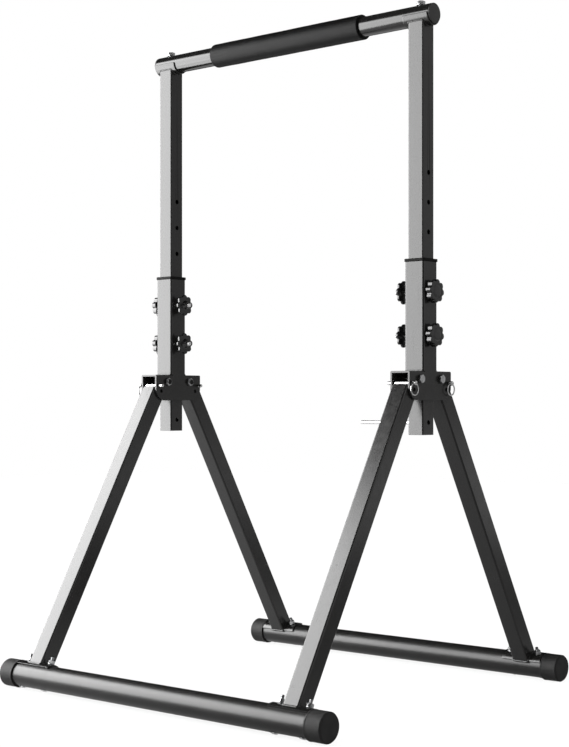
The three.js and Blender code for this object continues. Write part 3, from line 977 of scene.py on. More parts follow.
@dataclass(frozen=True)
class Fastener:
    """Bolts, nuts and washers of one size. Each form runs along Z."""

    radius: float = 5.0
    across_flats: float = 17.0
    head_height: float = 6.4
    nut_height: float = 8.0
    washer_radius: float = 10.0
    washer_thickness: float = 2.0
    insert_height: float = 2.1
    pitch: float = 1.5

    def head(self, start: float) -> Form:
        """Hexagon head from start upwards, with the turned face under it."""
        face_height, face_share = 0.4, 0.94
        block = hex_block(self.across_flats, start + face_height, start + self.head_height)
        return block + rod(self.across_flats / 2 * face_share, start, start + face_height * 2, SLIVER)

    def nut(self, start: float) -> Form:
        """Plain nut from start upwards, bored for its thread."""
        overrun, flare, flare_depth = 2, 1.6, 1.2
        top = start + self.nut_height
        block = hex_block(self.across_flats, start, top)
        hole = rod(self.radius + SLIVER, start - overrun, top + overrun, SLIVER)
        rim = top + 0.4
        countersink = lathe([(0, top - flare_depth), (self.radius, top - flare_depth),
                             (self.radius + flare, rim), (0, rim)], 48)
        return cut(cut(block, hole), countersink)

    def lock_nut(self, start: float) -> tuple[Form, Form]:
        """Nut with a domed collar that holds a closed nylon disc.

        Args:
            start: Height of its bearing face.

        Returns:
            The steel nut and the nylon disc.
        """
        lip_width, collar_share, dome_inset, disc_recess = 2.0, 0.88, 1.4, 0.9
        top = start + self.nut_height
        shoulder = top - self.insert_height
        collar_radius = self.across_flats / 2 * collar_share
        lip = self.radius + lip_width
        profile = [(lip, shoulder - 0.5), (collar_radius, shoulder - 0.5), (collar_radius, shoulder + 0.6),
                   (collar_radius - dome_inset, top), (lip, top)]
        collar = lathe(softened(profile, 0.5, closed=True, steps=3), 48, looped=True)
        disc = rod(lip + 0.05, shoulder - 0.4, top - disc_recess, 0.25)
        return hex_block(self.across_flats, start, shoulder) + collar, disc

    def washer(self, start: float) -> Form:
        """Flat washer from start upwards, its edges rounded by the punch."""
        clearance, edge = 0.4, 0.5
        end = start + self.washer_thickness
        return pipe(self.washer_radius, self.radius + clearance, start, end, edge, 56)

    def shank(self, start: float, end: float, thread_from: float) -> Form:
        """Plain shank from start, with a thread from thread_from to end."""
        under_thread, overlap = 0.05, 1
        plain = rod(self.radius - under_thread, start, thread_from, SLIVER, 40)
        return plain + threaded(self.radius, thread_from - overlap, end, self.pitch)


STOCK = Stock()
FASTENER = Fastener()
FOOT_FASTENER = Fastener(radius=4.0, across_flats=13.0, nut_height=6.5, washer_radius=8.0,
                         washer_thickness=1.6, pitch=1.25)


# Upper frame


@dataclass(frozen=True)
class Crossbar:
    """The round crossbar with its foam grip."""

    body: str = "upper_frame"
    radius: float = 21.7
    wall: float = 2.2
    grip_radius: float = 27.5
    grip_end_round: float = 4.2

    @property
    def height(self) -> float:
        """Height of the bar's axis."""
        return middle("crossbar").z

    @property
    def seat(self) -> float:
        """Radius of what lies round the bar."""
        return self.radius + STOCK.seat_gap

    @property
    def at_axis(self) -> Matrix:
        """Moves a form made along Z onto the bar's axis."""
        return moved(z=self.height) @ along_x()

    def tube(self) -> Form:
        """The bare crossbar."""
        half = span("crossbar")[1].x
        return pipe(self.radius, self.radius - self.wall, -half, half, 0.5, 96).placed(self.at_axis)

    def grip(self) -> Form:
        """The foam sleeve, a little uneven as foam is, with soft ends."""
        half = span("grip")[1].x
        bore, radius, soft = self.seat, self.grip_radius, self.grip_end_round
        rows, sides = 120, 96
        ends = softened([(bore, -half), (radius, -half), (radius, -half + 3 * soft)], soft, steps=8)
        body = [(radius, -half + 3 * soft + (2 * half - 6 * soft) * k / rows) for k in range(1, rows + 1)]
        far = [(r, -z) for r, z in reversed(ends[:-1])]
        form = lathe(ends + body + far, sides, looped=True)

        def uneven(point: Vector) -> Vector:
            """Moves a point of the skin in or out by slow noise."""
            inner_skin, swell_height, swell_scale, swell_lean = 0.5, 0.28, 0.021, 0.35
            ripple_height, ripple_scale = 0.12, 0.11
            arm = math.hypot(point.x, point.y)
            if arm < bore + inner_skin:
                return point
            share = (arm - bore) / (radius - bore)
            swell = swell_height * share * (noise.noise(point * swell_scale) - swell_lean)
            ripple = ripple_height * share * noise.noise(point * ripple_scale)
            factor = 1 + (swell + ripple) / arm
            return Vector((point.x * factor, point.y * factor, point.z))

        return form.shaped(uneven).placed(self.at_axis)

    def build(self) -> None:
        """Makes and dresses the bar and its grip, then what is at its ends."""
        piece("crossbar_tube", self.tube(), BAR_COAT, self.body, "crossbar")
        grip = piece("grip_foam_sleeve", self.grip(), FOAM, self.body, "grip", crease=60)
        for side in Side:
            BarEnd(side, self).build()


@dataclass(frozen=True)
class BarEnd:
    """The plug in one end of the crossbar, and the telescoping post bolted under it."""

    side: Side
    bar: Crossbar
    plug_head: float = 4.0
    plug_depth: float = 16.0
    plug_round: float = 1.3
    trough_plate: float = 3.0
    trough_length: float = 65.0
    post_wall: float = 2.0
    post_corner: float = 3.6
    hole_radius: float = 5.5
    hole_pitch: float = 63.4
    hole_count: int = 5
    stop_hole_rise: float = 27.0
    weld_radius: float = 1.7

    @property
    def x(self) -> float:
        """Where the post's axis stands."""
        return self.side.value * middle("inner_post_right").x

    @property
    def foot(self) -> float:
        """Height of the post's lower end."""
        return span("inner_post_right")[0].z

    @property
    def trough_radius(self) -> float:
        """Outer radius of the trough."""
        return self.bar.seat + self.trough_plate

    @property
    def holes(self) -> Outline:
        """The post's holes as (y, z): that of the stop pin and the row above."""
        first = joint_place("knob_right_outer_upper_turn").z
        levels = [first + k * self.hole_pitch for k in range(self.hole_count)]
        return [(0, level) for level in [self.foot + self.stop_hole_rise] + levels]

    def plug(self) -> Form:
        """The plug: a domed disc on a hollow spigot."""
        rim_gap, rim_height, dome_share = 0.1, 0.4, 0.62
        edge, radius, seat, top = self.bar.radius - rim_gap, self.bar.radius, STOCK.seat_gap, self.plug_head
        spigot = radius - self.bar.wall - seat
        bore = spigot - self.bar.wall
        head = softened([(edge, seat), (edge, top - rim_height), (radius * dome_share, top)],
                        self.plug_round, steps=5)
        profile = [(0, seat), (bore, seat), (bore, -self.plug_depth), (spigot, -self.plug_depth),
                   (spigot, seat), *head, (0, top)]
        tip = self.side.value * span("crossbar")[1].x
        return lathe(profile, 72).placed(place(tip, 0, self.bar.height, self.side.turn) @ along_x())

    def post(self) -> Form:
        """The square tube with its row of holes, coped under the trough."""
        width, cope_gap = STOCK.post_width, 0.15
        tube = square_pipe(width, self.post_wall, self.post_corner, self.foot, self.bar.height)
        cope = rod(self.trough_radius + cope_gap, -width, width, SLIVER, 96).placed(self.bar.at_axis)
        return drilled(cut(tube, cope), self.hole_radius, width, 40, self.holes).placed(moved(self.x))

    def post_inside(self) -> Form:
        """A thin near-black skin without gloss inside the post: painted shade that keeps the post's inside
        dark.
        """
        gap, wall, corner, short_below, short_above, hole_gap = 0.1, 0.3, 1.8, 0.5, 1, 0.3
        width = STOCK.post_width - 2 * self.post_wall - gap
        top = self.bar.height - self.trough_radius - short_above
        tube = square_pipe(width, wall, corner, self.foot + short_below, top, SLIVER)
        radius = self.hole_radius + hole_gap
        return drilled(tube, radius, STOCK.post_width, 40, self.holes).placed(moved(self.x))

    def trough(self) -> Form:
        """The half-round trough under the crossbar."""
        outline = curved_plate(self.trough_radius, self.bar.seat, HALF_TURN, HALF_TURN, 36)
        return sideways(outline, self.trough_length).placed(moved(self.x, z=self.bar.height))

    def trough_weld(self) -> Form:
        """The weld between post and trough, which follows the cope."""
        outset, sunk = 0.8, 0.3
        outline = rounded_square(STOCK.post_width + outset, self.post_corner, flats=12)
        path = [Vector((x, y, self.bar.height - math.sqrt(self.trough_radius ** 2 - y ** 2) - sunk))
                for x, y in outline]
        return weld_bead(path, self.weld_radius).placed(moved(self.x))

    def bar_bolt(self) -> Form:
        """The upright bolt through crossbar, trough and post."""
        tip, edge, twist = 3, 0.8, 0.4
        washer = self.bar.seat
        head = washer + FASTENER.washer_thickness
        nut = -self.trough_radius - STOCK.seat_gap - FASTENER.nut_height
        form = (FASTENER.washer(washer) + FASTENER.head(head) + FASTENER.nut(nut)
                + rod(FASTENER.radius, nut - tip, head, edge, 32))
        return form.placed(place(self.x, 0, self.bar.height, twist * self.side.value))

    def build(self) -> None:
        """Makes and dresses plug, post, trough, weld and bolt."""
        name, body = self.side.word, self.bar.body
        piece(f"crossbar_plug_{name}", self.plug(), PLUG_PLASTIC, body, f"crossbar_cap_{name}")
        piece(f"post_tube_{name}", self.post(), POWDER_COAT, body, f"inner_post_{name}")
        # The post's inside gets painted shade: a dark liner without gloss.
        piece(f"post_inside_{name}", self.post_inside(), SHADE_LINER_FINISH, body)
        piece(f"trough_{name}", self.trough(), POWDER_COAT, body, f"saddle_{name}", edge=1.4)
        piece(f"trough_weld_{name}", self.trough_weld(), POWDER_COAT, body)
        piece(f"bar_bolt_{name}", self.bar_bolt(), ZINC, body, f"crossbar_bolt_{name}", edge=0.25)


@dataclass(frozen=True)
class StopPin:
    """The plain chrome rod through the right post's lowest hole."""

    body: str = "stop_pin"
    radius: float = 4.0
    chamfer: float = 0.9
    groove_from_end: float = 12.0
    groove_width: float = 1.6
    groove_depth: float = 0.5

    def build(self) -> None:
        """Makes and dresses the pin."""
        low, high = span("stop_pin")
        radius, chamfer, groove = self.radius, self.chamfer, high.x - self.groove_from_end
        profile = [(0, low.x), (radius - chamfer, low.x), (radius, low.x + chamfer), (radius, groove),
                   (radius - self.groove_depth, groove + self.groove_width / 2),
                   (radius, groove + self.groove_width), (radius, high.x - chamfer),
                   (radius - chamfer, high.x), (0, high.x)]
        pin = lathe(profile, 40).placed(moved(z=(low.z + high.z) / 2) @ along_x())
        piece("stop_pin_rod", pin, CHROME, self.body, "stop_pin", crease=30)


# Centre


@dataclass(frozen=True)
class SleeveColumn:
    """One sleeve with its collar and the channel bracket that it is welded to."""

    side: Side
    body: str = "centre"
    wall: float = 2.5
    corner: float = 4.5
    weld_radius: float = 2.1
    flange_width: float = 53.6
    flange_corner: float = 5.2
    flange_round: float = 1.3
    plate: float = 4.0
    bend: float = 3.2
    nose_radius: float = 28.0
    pin_hole: float = 4.4

    @property
    def x(self) -> float:
        """Where the column's axis stands."""
        return middle(f"sleeve_{self.side.word}").x

    def sleeve(self) -> Form:
        """The square sleeve, drilled for the studs, its lower edge dressed flush with the bracket."""
        low, high = span(f"sleeve_{self.side.word}")
        width, overlap, gap = STOCK.sleeve_width, 2, 0.02
        tube = square_pipe(width, self.wall, self.corner, low.z, high.z)
        studs = [(0, joint_place(f"knob_{self.side.word}_outer_{level.word}_turn").z) for level in Level]
        tube = drilled(tube, STOCK.bolt_hole, width, 32, studs)
        half = (width - 2 * self.corner) / 2
        bottom, top = low.z - self.bend, low.z + overlap
        filler = sideways([(-half, bottom), (half, bottom), (half, top), (-half, top)], self.plate - gap)
        for way in (-1, 1):
            tube = tube + filler.placed(moved(way * (width / 2 - self.plate / 2)))
        return tube.placed(moved(self.x))

    def sleeve_weld(self, end: End) -> Form:
        """The weld between sleeve and bracket on the front or back."""
        outset, rise, inset = 0.9, 0.6, 3.2
        low, half = span(f"sleeve_{self.side.word}")[0].z, STOCK.half_sleeve
        path = [Vector((x, end.value * (half + outset), low + rise)) for x in (-half + inset, half - inset)]
        return weld_bead(path, self.weld_radius, closed=False).placed(moved(self.x))

    def collar(self) -> Form:
        """The bushing: a square flange on a thin liner round the post."""
        low, high = span(f"collar_{self.side.word}")
        flange_low = span(f"sleeve_{self.side.word}")[1].z + STOCK.seat_gap
        liner_play, liner_corner, under_edge, steps = 0.6, 2.2, 0.5, 5
        bore_lip, lip_corner, lip_depth = 1.6, 4.1, 0.8
        liner, bore = STOCK.sleeve_width - 2 * self.wall - liner_play, STOCK.post_passage
        width, corner, soft = self.flange_width, self.flange_corner, self.flange_round
        profile = [(liner, liner_corner, low.z), (liner, liner_corner, flange_low),
                   (width - 2 * under_edge, corner - under_edge, flange_low),
                   (width, corner, flange_low + under_edge)]
        for step in range(steps + 1):
            angle = QUARTER_TURN * step / steps
            inset = soft * (1 - math.cos(angle))
            profile.append((width - 2 * inset, corner - inset, high.z - soft + soft * math.sin(angle)))
        profile += [(bore + bore_lip, lip_corner, high.z), (bore, STOCK.post_bore_corner, high.z - lip_depth),
                    (bore, STOCK.post_bore_corner, low.z)]
        rings = [at_height(rounded_square(across, round_), height) for across, round_, height in profile]
        return skin(rings, looped=True).placed(moved(self.x))

    def bracket(self) -> Form:
        """The channel: a folded plate with rounded noses, drilled for pivots and lock pins."""
        low, high = span(f"bracket_{self.side.word}")
        half, reach, rise, nose = STOCK.half_sleeve, high.y, high.z - low.z, self.nose_radius
        overrun, inner_bend = 3, 0.6
        inner, depth = half - self.plate, rise - self.plate
        section = softened([(-half, 0), (-half, rise), (half, rise), (half, 0)], self.bend, steps=6)
        section += softened([(inner, 0), (inner, depth), (-inner, depth), (-inner, 0)], inner_bend, steps=2)
        channel = skin([[Vector((x, y, low.z + z)) for x, z in section] for y in (-reach, reach)])
        outline = [(reach, high.z + 1), (-reach, high.z + 1)]
        for way, start in ((-1, HALF_TURN), (1, HALF_TURN + QUARTER_TURN)):
            outline += arc(nose, start, QUARTER_TURN, 24, (way * (reach - nose), low.z + nose))
        blank = cut(channel, sideways(outline, STOCK.sleeve_width + 2 * overrun), Cut.COMMON)
        passage = rounded_square(STOCK.post_passage, STOCK.post_bore_corner)
        blank = cut(blank, skin([at_height(passage, height)
                                 for height in (high.z - self.plate - overrun, high.z + overrun)]))
        pivot, open_pin = joint_place("back_fold"), middle(f"lock_pin_{self.side.word}_back")
        folded_pin = Vector((0, pivot.y + STOCK.pin_reach * math.sin(STOCK.pin_angle),
                             pivot.z - STOCK.pin_reach * math.cos(STOCK.pin_angle)))
        for hole in (pivot, open_pin, folded_pin):
            radius = STOCK.bolt_hole if hole is pivot else self.pin_hole
            both = [(way * hole.y, hole.z) for way in (-1, 1)]
            blank = drilled(blank, radius, STOCK.sleeve_width, 32, both)
        return blank.placed(moved(self.x))

    def build(self) -> None:
        """Makes and dresses sleeve, collar, bracket and welds."""
        name = self.side.word
        piece(f"sleeve_tube_{name}", self.sleeve(), POWDER_COAT, self.body, f"sleeve_{name}")
        piece(f"collar_bushing_{name}", self.collar(), COLLAR_PLASTIC, self.body, f"collar_{name}")
        piece(f"channel_{name}", self.bracket(), POWDER_COAT, self.body, f"bracket_{name}", edge=0.5)
        for end in End:
            piece(f"sleeve_weld_{name}_{end.word}", self.sleeve_weld(end), POWDER_COAT, self.body)


@dataclass(frozen=True)
class Corner:
    """What belongs to one leg: its side and its end of the stand."""

    side: Side
    end: End

    @property
    def name(self) -> str:
        """Side and end in words."""
        return f"{self.side.word}_{self.end.word}"

    @property
    def x(self) -> float:
        """Where the side's column stands."""
        return middle(f"sleeve_{self.side.word}").x


@dataclass(frozen=True)
class PivotBolt(Corner):
    """Bolt that a leg turns on: head outside, lock nut inside."""

    body: str = "centre"
    tip_recess: float = 4.5

    def build(self) -> None:
        """Makes and dresses the bolt, its nut and the nylon disc."""
        side_twist, end_twist = 0.35, 0.6
        pivot = joint_place(f"{self.end.word}_fold")
        twist = Matrix.Rotation(side_twist * self.side.value + end_twist * self.end.value, 4, "X")
        where = place(self.x, pivot.y, pivot.z, self.side.turn) @ twist
        nut, disc = FASTENER.lock_nut(STOCK.face)
        inward = Matrix.Rotation(HALF_TURN, 4, "Z") @ along_x()
        tip = STOCK.face + FASTENER.nut_height - self.tip_recess
        shank = FASTENER.shank(-STOCK.face - 1, tip, STOCK.face - 2).placed(inward)
        steel = FASTENER.head(STOCK.face).placed(along_x()) + nut.placed(inward) + shank
        piece(f"pivot_bolt_{self.name}_steel", steel.placed(where), ZINC, self.body,
              f"pivot_bolt_{self.name}", edge=0.25)
        piece(f"pivot_insert_{self.name}", disc.placed(inward).placed(where), INSERT_NYLON, self.body)


@dataclass(frozen=True)
class LockPin(Corner):
    """Spring-ball pin across bracket and leg, with its pull ring."""

    tail: float = 14.0
    groove_from_tail: float = 6.5
    neck_length: float = 2.2
    head_radius: float = 5.0
    head_length: float = 11.0
    head_round: float = 1.8
    ring_standoff: float = 6.5
    ring_radius: float = 12.8
    wire_radius: float = 1.4
    ring_hole: float = 2.85

    @property
    def eye_x(self) -> float:
        """From the sleeve's axis to the cross-drilled eye."""
        return STOCK.half_sleeve + self.ring_standoff

    def where(self) -> Matrix:
        """The pin's place, facing outward."""
        centre = middle(f"lock_pin_{self.name}")
        return place(self.x, centre.y, centre.z, self.side.turn)

    def pin(self) -> Form:
        """Shank with a rounded point and a groove, and the cross-drilled head."""
        radius, face, head_radius = STOCK.pin_radius, STOCK.face, self.head_radius
        tail, top = -STOCK.half_sleeve - self.tail, face + self.head_length
        groove, knuckle = tail + self.groove_from_tail, face + self.neck_length
        shank = [(0, tail), (radius - 1.1, tail + 0.15), (radius - 0.4, tail + 0.8), (radius, tail + 1.8),
                 (radius, groove), (radius - 0.5, groove + 0.6), (radius, groove + 1.2), (radius, face)]
        head = softened([(radius, face), (radius, knuckle), (head_radius, knuckle + 0.8),
                         (head_radius, top), (0, top)], self.head_round, steps=5)
        form = lathe(shank + head[1:], 40).placed(along_x())
        drill = rod(self.ring_hole, -2 * head_radius, 2 * head_radius, SLIVER, 32).placed(along_y())
        return cut(form, drill.placed(moved(self.eye_x)))

    def ring(self) -> Form:
        """The pull ring: bent wire whose ends meet at a closed joint."""
        steps, sides, waist, waist_step = 72, 16, 0.8, 6
        rings = []
        for k in range(steps):
            angle = FULL_TURN * k / steps + QUARTER_TURN
            wire = self.wire_radius * (waist if min(k, steps - k) == waist_step else 1.0)
            ring = []
            for s in range(sides):
                roll = FULL_TURN * s / sides
                reach = self.ring_radius + wire * math.cos(roll)
                ring.append(Vector((wire * math.sin(roll), reach * math.cos(angle), reach * math.sin(angle))))
            rings.append(ring)
        return skin(rings, looped=True).placed(moved(self.eye_x, z=-self.ring_radius))

    def build(self) -> None:
        """Makes and dresses pin and ring."""
        pin, ring = f"lock_pin_{self.name}", f"lock_ring_{self.name}"
        piece(f"{pin}_steel", self.pin().placed(self.where()), CHROME, pin, pin, edge=0.25, crease=38)
        piece(f"pull_ring_{self.name}", self.ring().placed(self.where()), CHROME, ring, ring, crease=50)


@dataclass(frozen=True)
class StarKnob:
    """Eight-lobed clamping knob with its threaded stud, and the nut of the outer ones."""

    side: Side
    reach: Reach
    level: Level
    radius: float = 25.4
    lobes: int = 8
    lobe_steps: int = 24
    lobe_radius: float = 7.0
    valley_radius: float = 3.5
    edge_round: float = 2.0
    outer_thickness: float = 13.6
    inner_thickness: float = 6.5
    outer_phase: float = math.radians(8)
    inner_phase: float = math.radians(3)
    recess_radius: float = 12.8
    recess_depth: float = 3.2
    neck_radius: float = 9.0
    neck_length: float = 1.0
    outer_standoff: float = 4.4
    inner_standoff: float = 17.5
    hub_radius: float = 11.0
    hub_top_radius: float = 8.0
    hub_height: float = 9.0
    stud_radius: float = 5.0
    stud_tip: float = 20.3
    stud_show: float = 6.5
    nut_across_flats: float = 19.0
    nut_height: float = 6.0

    @property
    def name(self) -> str:
        """Side, reach and level in words."""
        return f"{self.side.word}_{self.reach.word}_{self.level.word}"

    @property
    def body(self) -> str:
        """The body that the knob is."""
        return f"knob_{self.name}"

    @property
    def is_outer(self) -> bool:
        """Whether the knob is on its post's outer side."""
        return self.reach is Reach.OUTER

    @property
    def start(self) -> float:
        """Where the lobed rim begins, from the post's axis."""
        return STOCK.half_sleeve + (self.outer_standoff if self.is_outer else self.inner_standoff)

    @property
    def end(self) -> float:
        """Where the lobed rim ends."""
        return self.start + (self.outer_thickness if self.is_outer else self.inner_thickness)

    @property
    def phase(self) -> float:
        """Angle of the first lobe."""
        return -self.side.value * self.outer_phase if self.is_outer else self.inner_phase

    def where(self) -> Matrix:
        """The knob's place, facing away from its post."""
        centre = joint_place(f"{self.body}_turn")
        return place(centre.x, centre.y, centre.z, Side(self.side.value * self.reach.value).turn)

    @cached_property
    def rim(self) -> Outline:
        """The lobed rim as (radius, angle): round lobes, round valleys between, each an arc."""
        half = HALF_TURN / self.lobes
        lobe = self.radius - self.lobe_radius
        gap = self.lobe_radius + self.valley_radius
        along = lobe * math.cos(half)
        valley = along + math.sqrt(along ** 2 - lobe ** 2 + gap ** 2)
        lean = math.asin(valley * math.sin(half) / gap)
        touch = math.atan2(self.lobe_radius * math.sin(lean), lobe + self.lobe_radius * math.cos(lean))
        count = self.lobes * self.lobe_steps
        points = []
        for k in range(count):
            angle = FULL_TURN * k / count
            off = half - abs(angle % (2 * half) - half)
            if off < touch:
                arm = lobe * math.cos(off) + math.sqrt(self.lobe_radius ** 2 - (lobe * math.sin(off)) ** 2)
            else:
                rest = half - off
                drop = math.sqrt(self.valley_radius ** 2 - (valley * math.sin(rest)) ** 2)
                arm = valley * math.cos(rest) - drop
            points.append((arm, angle + self.phase))
        return points

    def star(self, inset: float, height: float) -> Ring:
        """One ring of the lobed rim."""
        return [Vector(((arm - inset) * math.cos(angle), (arm - inset) * math.sin(angle), height))
                for arm, angle in self.rim]

    def discs(self, profile: Outline, base: float) -> list[Ring]:
        """Round rings of (radius, height above base), with as many points as the star has."""
        return [at_height(circle(radius, self.lobes * self.lobe_steps, self.phase), base + height)
                for radius, height in profile]

    def underside(self) -> list[Ring]:
        """The rings under the rim: a hollow round the nut, or a short neck."""
        bore = self.stud_radius + 0.2
        if self.is_outer:
            wide, floor = self.recess_radius, self.start + self.recess_depth
            inside = self.discs([(bore, 0), (wide - 0.5, 0), (wide, -0.5)], floor)
            return inside + self.discs([(wide + 0.4, 0.4), (wide + 0.9, 0)], self.start)
        neck, length = self.neck_radius, self.neck_length
        foot = self.discs([(bore, 0), (neck - 0.6, 0), (neck, 0.6)], self.start - length)
        return foot + self.discs([(neck, 0)], self.start)

    def topside(self) -> list[Ring]:
        """The rings over the rim: a closed face with a shallow groove, or a hub round the stud."""
        if self.is_outer:
            return self.discs([(15.5, 0.05), (15.0, -0.5), (14.6, -0.5), (14.0, 0.05), (9.0, 0.3),
                               (4.0, 0.38)], self.end)
        hub, crown, stud = self.hub_radius, self.hub_top_radius, self.stud_radius
        foot = self.discs([(hub + 2.2, 0), (hub + 0.7, 0.25), (hub - 0.1, 1.2)], self.end)
        return foot + self.discs([(crown + 0.5, -1.0), (crown + 0.15, -0.3), (crown - 0.5, 0),
                                  (stud + 0.25, 0), (stud + 0.2, -1.5)], self.end + self.hub_height)

    def head(self) -> Form:
        """The moulded head: lobed rim, and a hub or a closed face."""
        soft, steps = self.edge_round, 6
        angles = [QUARTER_TURN * step / steps for step in range(steps + 1)]
        below = [self.star(soft * (1 - math.sin(a)), self.start + soft * (1 - math.cos(a))) for a in angles]
        above = [self.star(soft * (1 - math.cos(a)), self.end - soft * (1 - math.sin(a))) for a in angles]
        return skin(self.underside() + below + above + self.topside())

    def stud(self) -> Form:
        """The threaded stud, which shows at the hub of the inner knobs."""
        hidden = self.start + self.recess_depth + 1
        end = hidden if self.is_outer else self.end + self.hub_height + self.stud_show
        return threaded(self.stud_radius, self.stud_tip, end)

    def nut(self) -> Form:
        """The outer knob's check nut, against the sleeve."""
        overrun, play = 3, 0.3
        top = STOCK.face + self.nut_height
        hole = rod(self.stud_radius + play, STOCK.face - overrun, top + overrun, SLIVER, 40)
        return cut(hex_block(self.nut_across_flats, STOCK.face, top), hole)

    def build(self) -> None:
        """Makes and dresses the knob, its stud and its nut."""
        where = self.where() @ along_x()
        piece(f"star_{self.name}", self.head().placed(where), KNOB_PLASTIC, self.body, self.body, crease=40)
        piece(f"stud_{self.name}", self.stud().placed(where), CHROME, self.body, crease=20)
        if self.is_outer:
            name, mean_turn, level_turn = f"{self.side.word}_{self.level.word}", 6, 2
            twist = Matrix.Rotation(math.radians(mean_turn + level_turn * self.level.value), 4, "Z")
            piece(f"check_nut_{name}", self.nut().placed(where @ twist), CHROME, "centre",
                  f"knob_nut_{name}", edge=0.25)


# Leg frames


@dataclass(frozen=True)
class Leg(Corner):
    """A square leg with its hinge eye, and the foot plate that saddles the base tube."""

    wall: float = 2.0
    corner: float = 4.0
    offset: float = 8.1
    mouth_chamfer: float = 4.0
    bush_wall: float = 3.0
    foot_half_angle: float = math.radians(47)
    foot_length: float = 103.0
    weld_radius: float = 2.3

    @cached_property
    def stride(self) -> tuple[float, float]:
        """How far out and how far down the base tube's axis is from the pivot."""
        pivot, base = joint_place("back_fold"), middle("base_tube_back")
        return base.y - pivot.y, pivot.z - base.z

    @property
    def reach(self) -> float:
        """Distance along the leg from the pivot to the base tube's axis."""
        out, down = self.stride
        return math.sqrt(out ** 2 + down ** 2 - self.offset ** 2)

    @property
    def splay(self) -> float:
        """Angle of the leg from the vertical."""
        return math.atan2(*self.stride) - math.asin(self.offset / math.hypot(*self.stride))

    @property
    def foot_radius(self) -> float:
        """Outer radius of the foot plate."""
        return STOCK.base_seat + STOCK.foot_plate

    @property
    def at_foot(self) -> Matrix:
        """Moves a form from the base tube's axis into the leg's own place."""
        return moved(y=self.offset, z=-self.reach)

    def side_outline(self) -> Outline:
        """The leg seen from the side, about its pivot: eye, mouth and lower end."""
        inner, outer = STOCK.post_width / 2 - self.offset, STOCK.post_width / 2 + self.offset
        shoulder = STOCK.pin_reach * math.cos(STOCK.pin_angle) + STOCK.pin_radius + STOCK.seat_gap
        mouth = softened([(outer, -self.reach), (outer, -shoulder), (inner, -shoulder), (inner, 0)],
                         self.mouth_chamfer, steps=5)
        return arc(inner, 0, HALF_TURN, 24) + [(-inner, -self.reach)] + mouth[:-1]

    def tube(self) -> Form:
        """The tube, cut to the eye above and to the foot plate below."""
        width, overrun = STOCK.post_width, 3
        tube = square_pipe(width, self.wall, self.corner, -self.reach, width / 2 - self.offset)
        tube = cut(tube.placed(moved(y=self.offset)), sideways(self.side_outline(), width + 2 * overrun),
                   Cut.COMMON)
        bore = rod(STOCK.base_seat + STOCK.foot_plate / 2, -width, width, SLIVER, 96)
        tube = cut(tube, bore.placed(self.at_foot @ along_x()))
        return drilled(tube, STOCK.bolt_hole, width, 32, [(0, 0)])

    def bush(self) -> Form:
        """The bush that keeps the leg's walls apart on the pivot bolt."""
        half, hole = STOCK.post_width / 2 - self.wall / 2, STOCK.bolt_hole
        return pipe(hole + self.bush_wall, hole, -half, half, 0.3, 40).placed(along_x())

    def foot(self) -> Form:
        """The curved foot plate on the base tube."""
        contact_gap = 0.05
        first = QUARTER_TURN + STOCK.foot_tilt - self.splay - self.foot_half_angle
        outline = curved_plate(self.foot_radius, STOCK.base_radius + contact_gap, first,
                               2 * self.foot_half_angle, 28)
        return sideways(outline, self.foot_length).placed(self.at_foot)

    def foot_weld(self) -> Form:
        """The weld round the leg's lower end, on the curved plate."""
        outset, rise = 1.2, 0.4
        outline = rounded_square(STOCK.post_width + outset, self.corner, flats=12)
        path = [Vector((x, y, math.sqrt(self.foot_radius ** 2 - y ** 2) + rise)) for x, y in outline]
        return weld_bead(path, self.weld_radius).placed(self.at_foot)

    def build(self) -> None:
        """Makes and dresses the leg, its foot plate and their weld."""
        body = f"{self.end.word}_leg_frame"
        pivot = joint_place(f"{self.end.word}_fold")
        where = place(self.x, pivot.y, pivot.z, self.end.turn, self.splay)
        leg = self.tube().placed(where) + self.bush().placed(where)
        piece(f"leg_tube_{self.name}", leg, POWDER_COAT, body, f"leg_{self.name}", edge=0.35)
        piece(f"foot_plate_{self.name}", self.foot().placed(where), POWDER_COAT, body, edge=0.8)
        piece(f"foot_weld_{self.name}", self.foot_weld().placed(where), POWDER_COAT, body)


